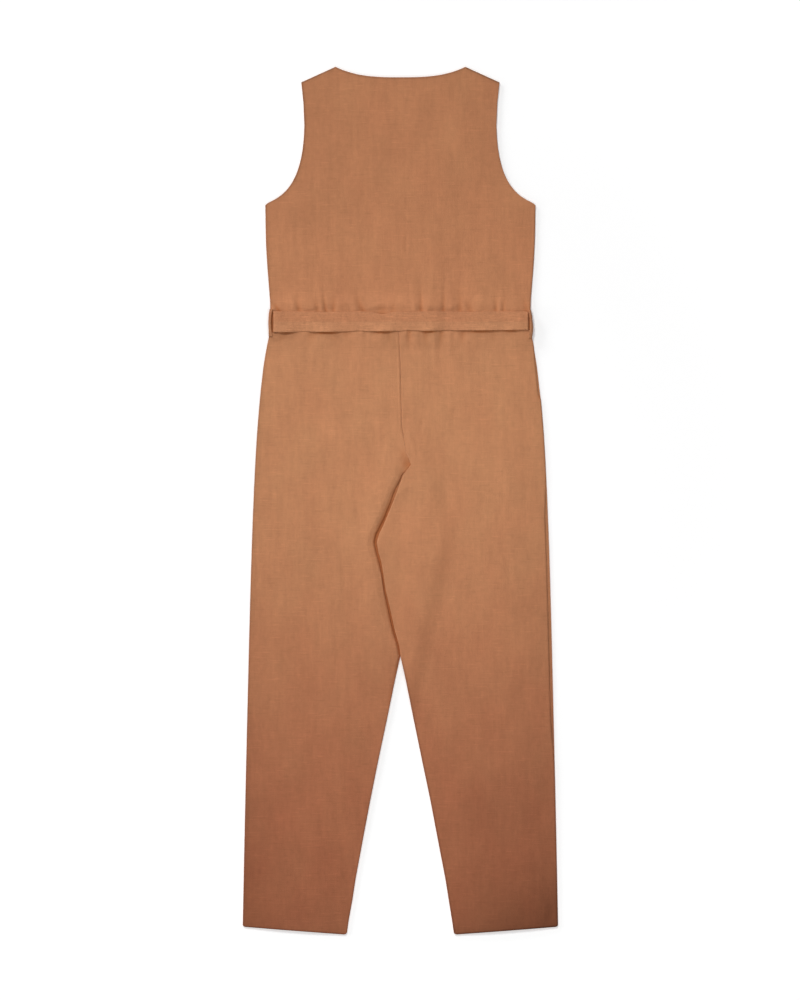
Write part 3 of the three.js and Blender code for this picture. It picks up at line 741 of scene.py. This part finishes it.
def bodice_edges(bodice, low, high, meet):
    """Rolls the side and shoulder seams and rounds the armholes and the neckline."""
    middle = (low + high) / 2
    seam = ramp(bodice.heights, *SIDE_SEAM_END)
    radius = lerp(EDGE_ROUND, SEAM_ROLL_WIDTH, seam)
    low, high = rounded(low, high, bodice.half - np.abs(bodice.x), radius, lerp(middle, meet, seam))
    shoulder = ramp(np.abs(bodice.x), *SHOULDER_START)
    radius = lerp(EDGE_ROUND, SEAM_ROLL_WIDTH, shoulder)
    return rounded(low, high, to_top(bodice), radius, lerp(middle, meet, shoulder))


def bodice_shade(bodice):
    """Painted light and shade over the back bodice: soft patches, and darker rims along its edges."""
    x, half = bodice.x, bodice.half
    at_top = lerp(LEFT_RIM_SHADE, SHOULDER_RIM_SHADE, ramp(np.abs(x), *SHOULDER_START))
    rims = rim(half + x, LEFT_RIM_SHADE), rim(half - x, RIM_SHADE), rim(to_top(bodice), at_top)
    return dents(SHADES, x, bodice.y) + np.minimum.reduce(rims)


def make_back_bodice(material):
    bodice = bodice_grid(BACK_NECK_DEPTH, 0, BACK_COLUMNS, 1)
    x, y = bodice.x, bodice.y
    front_top = belt_rise(x, y) + WALL - INSET
    folds = creases(BODICE_CREASES, x, y) + creases(BODICE_GATHERS, x, y, True)
    loose = folds * fold_share(y) + UNEVEN * waviness(x, y, BODICE_SEED)
    space = bodice_space(bodice) + loose * ramp(bodice.half - np.abs(x), *SEAM_FADE)
    low = on_front(front_top, space)
    low, high = bodice_edges(bodice, low, low + CLOTH, front_top + SEAM_SLIT + MEET_RISE)
    marks = {"deep_shade": gather_shade(folds) * ramp(y, *BODICE_SHADE_FROM), "shade": bodice_shade(bodice)}
    return shell("back_bodice", x, y, low, high, material, marks)


def make_front_bodice(name, side, material):
    bodice = bodice_grid(FRONT_NECK_DEPTH, side, FRONT_COLUMNS, FRONT_BODICE)
    x, y = bodice.x, bodice.y
    hollows = creases(FRONT_BODICE_CREASES, x, y) * fold_share(y)
    rise = np.minimum(hollows, FRONT_HOLLOW * bodice_space(bodice))
    low = belt_rise(x, y) + INSET + rise * ramp(bodice.half - np.abs(x), *SIDE_FADE)
    meet = belt_rise(x, y) + WALL - INSET + MEET_RISE
    low, high = bodice_edges(bodice, low, low + CLOTH, meet)
    low, high = rounded(low, high, np.abs(x) - SEAM_HALF_GAP, INSEAM_ROLL, (low + high) / 2)
    return shell("front_bodice_" + name, x, y, low, high, material, {})


# Legs
# The points of a leg, and for each row its inner and outer edge and its height at the inseam
Leg = namedtuple("Leg", "right x y inner outer rows")


def leg_grid(right, front):
    """Points of one leg. Its columns are closest near the inner edge, its rows at the crotch."""
    sign = 1 if right else -1
    factor = FRONT_LEG if front else 1
    rows = steps(HEM_ROWS, *coarser(LEG_ROWS, factor))
    inner = straight(INNER, 2 if right else 1, rows) + np.where(rows >= FORK, sign * SEAM_HALF_GAP, 0)
    if right:
        inner = np.where((rows < FORK) & (rows > GAP_APEX), straight(FOLD, 1, rows), inner)
    outer_y = rows + HEM_OUTER_RISE * ramp(rows, HEM_SLANT_FROM, HEM)
    corner = HEM_CORNER * (1 - edge_share(rows - HEM, HEM_CORNER))
    inner = inner + sign * corner
    outer = sign * (curved(SIDE, 1, outer_y) + side_shift(rows, right, front) - corner)
    if right or front:
        x = leg_columns(inner, outer, factor)
    else:
        x = left_leg_columns(rows, inner, outer)
    share = np.abs(x - inner[:, None]) / np.abs(outer - inner)[:, None]
    y = lerp(rows[:, None], outer_y[:, None], share)
    return Leg(right, x, y, inner[:, None], outer[:, None], rows[:, None])


def side_shift(rows, right, front):
    """How far out a leg's outer edge lies from the side, so that the right front leg shows."""
    if not right:
        return 0
    return straight(SEAM_ROLL, 1, rows) if front else -straight(SEAM_ROLL, 2, rows)


def leg_columns(inner, outer, factor):
    shares = steps(*coarser(LEG_COLUMNS, factor))
    if outer[0] < inner[0]:
        return across_places(outer, inner, 1 - shares[::-1])
    return across_places(inner, outer, shares)


def left_leg_columns(rows, inner, outer):
    """Columns of the left back leg, closest together along the edge of the leg on top of it."""
    fold = np.minimum(straight(FOLD, 2, rows), inner - FOLD_TO_EDGE)
    stops = [outer + BORDER[-1], *(fold + stop for stop in FOLD_STOPS), inner - BORDER[-1]]
    columns = [outer[:, None] + BORDER[None, :]]
    for start, stop, count in zip(stops, stops[1:], FOLD_COUNTS):
        share = np.arange(1, count + 1) / count
        columns.append(start[:, None] + (stop - start)[:, None] * share[None, :])
    columns.append((inner[:, None] - BORDER[None, ::-1])[:, 1:])
    return np.hstack(columns)


def leg_base(leg):
    """Height that a leg lies at. The right one lies on the left one below the fork."""
    base = belt_rise(leg.x, leg.y)
    if not leg.right:
        return base
    edge = straight(INNER, 1, leg.y) + LIFT_EDGE
    lift = (1 - ramp(leg.x, edge, edge + LIFT_RUN)) * ramp(leg.y, LIFT_FADE_TOP, LIFT_FADE_FOOT)
    return base + PRESSED_LEG * lift


def leg_space(leg):
    """Space between front and back of a leg, before the creases."""
    from_side = ramp(np.abs(leg.outer - leg.x), 0, EDGE_EASE)
    from_inseam = ramp(np.abs(leg.x - leg.inner), 0, EDGE_EASE)
    inwards = np.maximum(from_inseam, ramp(leg.y, FORK, LIFT_FADE_TOP))
    near_hem = lerp(HEM_LOFT, 1, ramp(leg.y, HEM, HEM + HEM_EASE))
    space = LOFT * from_side * inwards * near_hem * pressing(leg.x, leg.y)
    return space if leg.right else space * pressed_by_leg(leg.x, leg.y)


def pressed_by_leg(x, y):
    """The left leg's loft is pressed out under the right leg, with a steep last slope."""
    start, end = (straight(FOLD, 2, y) + slope for slope in PRESS_SLOPE)
    return lerp(1, PRESSED_LOFT, within(y, *PRESS_ZONE) * ramp(x, start, end))


def bank(leg):
    """The left leg puffs up beside the fold, then drops into it, first gently, then steeply."""
    edge, bottom, crest, steep, height = (straight(FOLD, column, leg.rows) for column in range(1, 6))
    distance = bottom - leg.x
    drop = steep * ramp(distance, 0, FOLD_STEEP) + (1 - steep) * ramp(distance, FOLD_GENTLE, bottom - crest)
    fall = np.exp(-(np.maximum(crest - leg.x, 0) / BANK_REACH) ** 2)
    hidden = ramp(leg.x, edge + BANK_END[0], edge + BANK_END[1]) * ramp(leg.rows, *BANK_HIDDEN)
    return height * lerp(1, drop, ramp(leg.rows, *FOLD_OPENS)) * fall * (1 - hidden)


def back_leg_space(leg, side, folds):
    """Space between front and back of a leg, with its creases, its dents and the bank."""
    dented, seam_fade, seed = dents(LEG_DENTS[side], leg.x, leg.y), LEG_SEAM_FADE[side], LEG_SEED[side]
    loose = (folds * fold_share(leg.y) * ramp(np.abs(leg.x - leg.inner), *seam_fade) + dented
             + UNEVEN * waviness(leg.x, leg.y, seed)) * ramp(np.abs(leg.outer - leg.x), *SIDE_FADE)
    if leg.right:
        return leg_space(leg) + loose
    bottom = straight(FOLD, 2, leg.rows)
    under = ramp(leg.x, bottom - UNDER_LEG, bottom) * ramp(leg.rows, *UNDER_LEG_FROM)
    off_ridge = (leg.x - leg.inner + RIDGE_IN) / RIDGE_WIDTH
    ridge = RIDGE_HEIGHT * np.exp(-off_ridge ** 2) * ramp(leg.y, *RIDGE_FROM)
    return leg_space(leg) + bank(leg) + loose * (1 - under) + ridge


def fold_depth(leg):
    """How deep in the fold a point of the left leg is, for its painted shade, from 0 at the crest to 1 at
    the bottom.
    """
    bottom, crest = straight(FOLD, 2, leg.rows), straight(FOLD, 3, leg.rows)
    across = ramp(leg.x, crest - 1, bottom - 0.5) ** FOLD_SHADE_POWER
    along = lerp(FOLD_SHADE_ENDS, 1, within(leg.rows, *FOLD_SHADE_ZONE))
    return across * along * ramp(leg.rows, *FOLD_SHADE_FROM)


def under_belt(x, y):
    """Where the belt's painted shadow falls on the cloth under its lifted lower edge, from 0 to 1."""
    edge = BELT_LOW + BELT_TILT * x - WAVE_DROP * bumps(BELT_WAVES, x)
    lifted = np.clip(bumps(BELT_WAVES, x) / FULL_LIFT, 0, 1)
    return lifted * ramp(y, edge + UNDER_BELT[0], edge + UNDER_BELT[1])


def leg_deep_shade(leg, folds):
    """How much painted shade deepens and reddens the colour: in the gathers, the fold and the fork, at the
    belt and the hem.
    """
    x, y = leg.x, leg.y
    hollows = [gather_shade(folds) * ramp(y, *LEG_SHADE_FROM), under_belt(x, y), dents(SHADE_SPOTS, x, y)]
    if not leg.right:
        hollows += [fold_depth(leg), dents(FORK_SHADE, x, y)]
    return np.maximum.reduce(hollows)


def leg_shade(leg):
    """Painted light and shade over a leg: soft patches, and darker rims along its hem and its edges."""
    at_outer, at_inner = (RIM_SHADE, LEFT_RIM_SHADE) if leg.right else (LEFT_RIM_SHADE, RIM_SHADE)
    rims = (rim(leg.x - leg.outer, at_outer),
            rim(leg.x - leg.inner, at_inner) * ramp(leg.rows, *INSEAM_SHOWS),
            rim(leg.rows - HEM, LEFT_RIM_SHADE) + 0 * leg.x)
    return dents(SHADES, leg.x, leg.y) + np.minimum.reduce(rims)


def inner_roll(leg):
    """Width of the roll at a back leg's inner edge: narrow at the seam, wide along the fold."""
    along = lerp(INSEAM_ROLL, FOLD_ROLL, within(leg.rows, *FOLD_ROLL_ZONE)) if leg.right else LEFT_ROLL
    return lerp(along, FORK_ROLL, within(leg.rows, *FORK_ZONE))


def leg_edges(leg, low, meet, inner_meet, roll):
    """Rolls the seams, and rounds the hem. roll is the width of the inner edge's roll."""
    low, high = rounded(low, low + CLOTH, np.abs(leg.outer - leg.x), SEAM_ROLL_WIDTH, meet)
    low, high = rounded(low, high, np.abs(leg.x - leg.inner), roll, inner_meet)
    return rounded(low, high, leg.rows - HEM, EDGE_ROUND, (low + high) / 2)


def side_curl(leg, width):
    """Rise of the front leg's edge where it shows at the right side seam."""
    if not leg.right:
        return 0
    return straight(SEAM_ROLL, 3, leg.rows) * ramp(leg.x, leg.outer - width, leg.outer)


def make_front_leg(side, material):
    leg = leg_grid(side == "right", front=True)
    base, curl = leg_base(leg), side_curl(leg, FRONT_CURL_WIDTH)
    hollows = creases(FRONT_LEG_CREASES, leg.x, leg.y) * fold_share(leg.y)
    low = base + INSET + curl + np.minimum(hollows, FRONT_HOLLOW * leg_space(leg))
    meet = base + WALL - INSET + MEET_RISE + curl
    low, high = leg_edges(leg, low, meet, meet, SEAM_ROLL_WIDTH)
    return shell("front_leg_" + side, leg.x, leg.y, low, high, material, {"shade": leg_shade(leg)})


def make_back_leg(side, material):
    leg = leg_grid(side == "right", front=False)
    folds = creases(LEG_CREASES[side], leg.x, leg.y) + creases(LEG_GATHERS[side], leg.x, leg.y, True)
    front_top = leg_base(leg) + WALL - INSET
    low = on_front(front_top, back_leg_space(leg, side, folds))
    meet = front_top + SEAM_SLIT + MEET_RISE + side_curl(leg, BACK_CURL_WIDTH) * BACK_CURL
    inner_meet = lerp(meet, low + SEAM_LIFT, ramp(leg.y, *SEAM_GROOVE))
    low, high = leg_edges(leg, low, meet, inner_meet, inner_roll(leg))
    marks = {"deep_shade": leg_deep_shade(leg, folds), "shade": leg_shade(leg)}
    return shell("back_leg_" + side, leg.x, leg.y, low, high, material, marks)


# Belt and loops
def quarter_turn(cx, cz, start, stop, radius=TURN_RADIUS, count=7):
    angles = np.linspace(start, stop, count)
    return [(cx + radius * math.cos(a), cz + radius * math.sin(a)) for a in angles]


def belt_top(x):
    """Height of the belt's middle line on the back."""
    crown = BELT_CROWN * ramp(WAIST_HALF - np.abs(x), 0, EDGE_EASE)
    slope = BELT_SLOPE_DROP * (ramp(x, *BELT_SLOPE_LEFT) + ramp(x, *BELT_SLOPE_RIGHT))
    edge_lift = BELT_EDGE_LIFT * ramp(np.abs(x), *BELT_LIFT_AT)
    return belt_rise(x, WAIST_SEAM) + 2 * LAYER + crown + WALL / 2 - slope + edge_lift


def belt_line():
    """Points of the belt's middle line in x and z, from its outer front end round the back."""
    corner = BELT_SIDE - TURN_RADIUS
    floor = WALL / 2
    top = float(belt_top(np.array(BELT_SIDE)))
    line = [(x, floor) for x in steps((LAP_HALF, -FRONT_RUN, FRONT_STEP))]
    line += quarter_turn(-corner, floor + TURN_RADIUS, -math.pi / 2, -math.pi)
    line += quarter_turn(-corner, top - TURN_RADIUS, math.pi, math.pi / 2)
    back = steps((-corner, -BACK_RUN, SIDE_STEP), (-BACK_RUN, BACK_RUN, BACK_STEP),
                 (BACK_RUN, corner, SIDE_STEP))
    line += [(x, float(belt_top(np.array(x)))) for x in back[1:-1]]
    line += quarter_turn(corner, top - TURN_RADIUS, math.pi / 2, 0)
    line += quarter_turn(corner, floor + TURN_RADIUS, 0, -math.pi / 2)
    line += [(x, floor) for x in steps((FRONT_RUN, LAP_HALF + LAP_RAMP, FRONT_STEP))]
    line += [(LAP_HALF + out, floor + up) for out, up in LAP_CLIMB]
    line += [(x, floor + LAYER) for x in steps((LAP_HALF - LAP_STEP_IN, -LAP_HALF, FRONT_STEP))]
    return np.array(line)


def strip_normals(line):
    into = np.diff(line, axis=0, prepend=2 * line[:1] - line[1:2])
    out = np.diff(line, axis=0, append=2 * line[-1:] - line[-2:-1])
    into /= np.linalg.norm(into, axis=1, keepdims=True)
    out /= np.linalg.norm(out, axis=1, keepdims=True)
    tangent = into + out
    tangent /= np.linalg.norm(tangent, axis=1, keepdims=True)
    return np.stack([-tangent[:, 1], tangent[:, 0]], -1)


def belt_stand(x, y, across, on_back):
    """How far the belt stands off: its lower edge where a wave is, and a little all over."""
    curl = BELT_STAND_OFF * bumps(BELT_WAVES, x) * (1 - ramp(across, 0, BELT_CURL_WIDTH))
    uneven = BELT_UNEVEN * waviness(x * 2 + 0 * y, y * 1.5, BELT_SEED)
    inwards = ramp(BELT_LOOSE_FROM - np.abs(x), 0, BELT_LOOSE_EASE)
    return on_back * inwards * (np.maximum(curl, BELT_LEAST_CURL) + uneven + BELT_LIFT)


def make_belt(material):
    line = belt_line()
    x, z = line[:, :1], line[:, 1:]
    on_back = ramp(z, WALL, WALL + LAYER + 1)
    low_edge = BELT_LOW + BELT_TILT * x - on_back * WAVE_DROP * bumps(BELT_WAVES, x)
    width = BELT_HIGH - on_back * bumps(BELT_DIPS, x) - low_edge
    share = BELT_COLUMNS[None, :] / BELT_COLUMNS[-1]
    y = low_edge + width * share
    stand = belt_stand(x, y, share * width, on_back)
    middle = line[:, None, :] + np.stack([0 * stand, stand], -1)
    half = CLOTH / 2 * edge_share(np.minimum(share, 1 - share) * width, BELT_EDGE_ROUND)
    offset = strip_normals(line)[:, None, :] * half[..., None]
    # Painted shade: the belt darker and redder in the slits under its loops
    slits = (ramp(x, *SLIT_LEFT) + ramp(x, *SLIT_RIGHT)) * (z > SLIT_ABOVE) + 0 * y
    marks = {"deep_shade": slits, "shade": slits * SLIT_SHADE}
    return strip("belt", middle - offset, middle + offset, y, material, marks)


def loop_line(side, table, y):
    """Middle line of a loop at one height: up the side seam and over onto the back."""
    stand, bow, inner_end = (float(straight(table, column, y)) for column in (1, 2, 3))
    out = WAIST_HALF + stand
    top = float(belt_rise(np.array(WAIST_HALF), np.array(WAIST_SEAM))) + 2 * LAYER + WALL / 2 + bow
    radius = LOOP_TURN + LOOP_TURN_SHARE * bow
    line = [(out, z) for z in np.linspace(LOOP_FOOT, top - radius - LOOP_TURN_CLEAR, 4)]
    line += quarter_turn(out - radius, top - radius, 0, math.pi / 2, radius, 9)
    last = line[-1][0]
    line += [(lerp(last, inner_end, share), top + LOOP_RISE * share) for share in LOOP_SHARES]
    return np.array([(side * px, pz) for px, pz in line])


def make_loop(node, side, table, material):
    high, low = table[0][0], table[-1][0]
    foot, head = low + LOOP_ENDS[0], high - LOOP_ENDS[1]
    heights = steps((low, foot, 0.6), (foot, head, 2), (head, high, 0.6))
    under, over = [], []
    for y in heights:
        line = loop_line(side, table, y)
        along = np.concatenate([[0], np.cumsum(np.linalg.norm(np.diff(line, axis=0), axis=1))])
        to_end = min(y - low, high - y) + LEAST_EDGE
        edge = np.minimum(np.minimum(along, along[-1] - along), to_end)
        half = CLOTH / 2 * edge_share(edge, EDGE_ROUND, LEAST_EDGE)
        offset = strip_normals(line) * half[:, None]
        under.append(line - offset)
        over.append(line + offset)
    inner, outer = (np.array(over), np.array(under)) if side > 0 else (np.array(under), np.array(over))
    out = np.abs(outer[..., 0])
    # Painted shade: the loop a little darker all over and darker still along its outer edge
    shade = LOOP_SHADE + rim(out.max(axis=1, keepdims=True) - out, LOOP_RIM_SHADE)
    return strip(node, inner, outer, heights[:, None] + 0 * out, material, {"shade": shade})


# Materials
def to_linear(colour):
    return tuple(c / 12.92 if c <= 0.04045 else ((c + 0.055) / 1.055) ** 2.4 for c in colour)


class Nodes:
    """Short calls for building one node tree."""

    def __init__(self, material):
        material.use_nodes = True
        self.tree = material.node_tree
        self.tree.nodes.clear()

    def add(self, kind, inputs=None, **settings):
        """A node with its settings and its inputs by name, each a value or another's output."""
        node = self.tree.nodes.new(kind)
        for key, value in settings.items():
            setattr(node, key, value)
        for key, value in (inputs or {}).items():
            self.put(value, node.inputs[key])
        return node

    def put(self, value, socket):
        if isinstance(value, bpy.types.NodeSocket):
            self.tree.links.new(value, socket)
        else:
            socket.default_value = value

    def math(self, operation, *values):
        node = self.add("ShaderNodeMath", operation=operation)
        for socket, value in zip(node.inputs, values):
            self.put(value, socket)
        return node.outputs[0]

    def clamped(self, value, limit):
        return self.math("MINIMUM", self.math("MAXIMUM", value, -limit), limit)

    def centred(self, value, amount):
        return self.math("MULTIPLY", self.math("SUBTRACT", value, 0.5), amount)

    def soft(self, value, start, stop, amount=1.0, kind="SMOOTHSTEP"):
        """A soft step up to the given amount as value goes from start to stop."""
        inputs = {"Value": value, "From Min": start, "From Max": stop, "To Max": amount}
        return self.add("ShaderNodeMapRange", inputs, interpolation_type=kind).outputs[0]

    def mix(self, a, b, factor, **settings):
        node = self.add("ShaderNodeMix", data_type="VECTOR", **settings)
        for key, value in (("A", a), ("B", b), ("Factor", factor)):
            self.put(value, node.inputs[key])
        return node.outputs["Result"]

    def noise(self, vector, scale, detail=2.0, roughness=0.5):
        """Noise over the cloth, scale as three counts a metre."""
        mapping = self.add("ShaderNodeMapping", {"Scale": scale, "Vector": vector}, vector_type="POINT")
        inputs = {"Scale": 1.0, "Detail": detail, "Roughness": roughness, "Vector": mapping.outputs[0]}
        return self.add("ShaderNodeTexNoise", inputs, noise_dimensions="3D").outputs["Fac"]

    def mark(self, name):
        return self.add("ShaderNodeAttribute", attribute_name=name).outputs["Fac"]

    def place(self):
        """The place on the object as a vector, and its x and y."""
        place = self.add("ShaderNodeTexCoord").outputs["Object"]
        split = self.add("ShaderNodeSeparateXYZ")
        self.put(place, split.inputs[0])
        return place, split.outputs[0], split.outputs[1]

    def surface(self, inputs):
        shader = self.add("ShaderNodeBsdfPrincipled", inputs)
        self.add("ShaderNodeOutputMaterial", {"Surface": shader.outputs[0]})


def lightness(n, noises, which):
    """How light the colour is: threads, clouds, streaks and flecks, slubs, and the painted light and shade
    of the shade marks.
    """
    shade = 0
    for noise, *amounts in LIGHTNESS:
        shade = n.math("ADD", shade, n.centred(noises[noise], amounts[which]))
    for noise, start, stop, *amounts in SLUBS:
        shade = n.math("ADD", shade, n.soft(noises[noise], start, stop, amounts[which]))
    return n.math("MULTIPLY", n.math("ADD", shade, PLAIN_LIGHTNESS), n.math("ADD", n.mark("shade"), 1))


def colour_with_painted_shade(n, place, height, colour):
    """The colour from neck to hem with painted shade: a little darker and redder above the waist, deeper
    and redder towards the hems, where the light is dimmer.
    """
    base = np.array(to_linear(colour))
    above = n.math("GREATER_THAN", height, WAIST_SEAM * MM)
    upper = n.mix(base, base * BODICE_SHADE_TINT, above)
    patches = n.centred(n.noise(place, PATCHES), PATCH_DEPTH)
    depth = n.math("ADD", n.soft(height, *HEM_SHADE_SPAN, kind="SMOOTHERSTEP"), patches)
    return n.mix(upper, base * HEM_SHADE_TINT, depth, clamp_factor=False)


def weave_relief(n, place, x, y, noises):
    """Fine relief: crossing threads that wander a little, thicker ones and the slubs."""
    bend = n.centred(n.noise(place, THREAD_BENDS), THREAD_BEND)
    ends, picks = (n.math("SINE", n.math("ADD", n.math("MULTIPLY", way, THREADS), bend)) for way in (x, y))
    weave = n.math("MULTIPLY", n.math("MULTIPLY", ends, picks), WEAVE_SHARE)
    relief = n.math("ADD", weave, n.math("ADD", noises["warp"], noises["weft"]))
    relief = n.math("ADD", relief, n.math("ADD", noises["slub_along"], noises["slub_across"]))
    inputs = {"Strength": RELIEF_STRENGTH, "Distance": RELIEF_HEIGHT, "Height": relief}
    return n.add("ShaderNodeBump", inputs).outputs[0]


def linen(name, colour, belt=False):
    """Plain-weave linen: threads, long and short slubs, flecks and a cloudy tone, with painted light and
    shade from the marks on the mesh.
    """
    material = bpy.data.materials.new(name)
    n = Nodes(material)
    place, x, y = n.place()
    table = {**NOISES, **BELT_NOISES} if belt else NOISES
    noises = {noise: n.noise(place, *row) for noise, row in table.items()}
    tint = n.add("ShaderNodeVectorMath", {"Scale": lightness(n, noises, int(belt))}, operation="SCALE")
    n.put(colour_with_painted_shade(n, place, y, colour), tint.inputs[0])
    deep_shaded_colour = n.add("ShaderNodeVectorMath", operation="MULTIPLY")
    n.put(tint.outputs[0], deep_shaded_colour.inputs[0])
    # Painted shade: darker and redder where the mesh's mark says so
    n.put(n.mix((1, 1, 1), DEEP_SHADE_TINT, n.mark("deep_shade")), deep_shaded_colour.inputs[1])
    n.surface({
        "Base Color": deep_shaded_colour.outputs[0],
        "Normal": weave_relief(n, place, x, y, noises),
        "Roughness": n.math("ADD", n.centred(noises["speck"], 0.12), 0.88),
        "Specular IOR Level": 0.25,
        "Sheen Weight": 0.12,
        "Sheen Roughness": 0.55,
        "Sheen Tint": (*to_linear(SHEEN_COLOUR), 1),
    })
    return material


# Floor, lights and camera
def floor_glow(n):
    """The floor's glow as a polynomial in x and y, which stays the same beyond its reach."""
    _, x, y = n.place()
    x, y = n.clamped(x, GLOW_REACH_X), n.clamped(y, GLOW_REACH_Y)
    glow = 0
    for row in reversed(GLOW):
        term = 0
        for factor in reversed(row):
            term = n.math("ADD", n.math("MULTIPLY", term, y), factor)
        glow = n.math("ADD", n.math("MULTIPLY", glow, x), term)
    return glow


def make_floor():
    material = bpy.data.materials.new("pale_floor")
    n = Nodes(material)
    n.surface({
        "Base Color": (FLOOR_GREY, FLOOR_GREY, FLOOR_GREY, 1),
        "Roughness": 0.9,
        "Specular IOR Level": 0.0,
        "Emission Color": (1, 1, 1, 1),
        "Emission Strength": floor_glow(n),
    })
    corners = [(-1, -1), (1, -1), (1, 1), (-1, 1)]
    points = np.array([(x * FLOOR_HALF, y * FLOOR_HALF, -FLOOR_DROP) for x, y in corners])
    mesh_piece("floor", points, np.array([[0, 1, 2, 3]]), material)


def make_light(name, place, target, energy, size):
    data = bpy.data.lights.new(name, "AREA")
    data.energy = energy
    data.shape = "DISK"
    data.size = size
    light = bpy.data.objects.new(name, data)
    light.location = place
    bpy.context.scene.collection.objects.link(light)
    direction = Vector(np.array(target, float) - np.array(light.location))
    light.rotation_euler = direction.to_track_quat("-Z", "Y").to_euler()
    light.visible_camera = False


def make_world():
    world = bpy.data.worlds.new("studio")
    bpy.context.scene.world = world
    world.use_nodes = True
    background = world.node_tree.nodes["Background"]
    background.inputs["Color"].default_value = (1, 1, 1, 1)
    background.inputs["Strength"].default_value = WORLD_STRENGTH


def make_camera():
    data = bpy.data.cameras.new("camera")
    data.type = "PERSP"
    data.lens = LENS
    data.sensor_width = SENSOR
    data.clip_end = CLIP_END
    camera = bpy.data.objects.new("camera", data)
    camera.location = (*PICTURE_CENTRE, CAMERA_HEIGHT)
    bpy.context.scene.collection.objects.link(camera)
    bpy.context.scene.camera = camera


make_camera()
for light in LIGHTS:
    make_light(*light)
make_world()
bpy.context.scene.view_settings.view_transform = "Standard"
bpy.context.scene.view_settings.look = "None"
make_floor()

linen_cloth = linen("linen", LINEN_COLOUR)
belt_cloth = linen("belt_linen", BELT_COLOUR, belt=True)
back_bodice = make_back_bodice(linen_cloth)
front_left = make_front_bodice("left", -1, linen_cloth)
front_right = make_front_bodice("right", 1, linen_cloth)
for side in ("left", "right"):
    make_front_leg(side, linen_cloth)
    make_back_leg(side, linen_cloth)
belt = make_belt(belt_cloth)
loop_left, loop_right = [make_loop(*loop, belt_cloth) for loop in LOOPS]
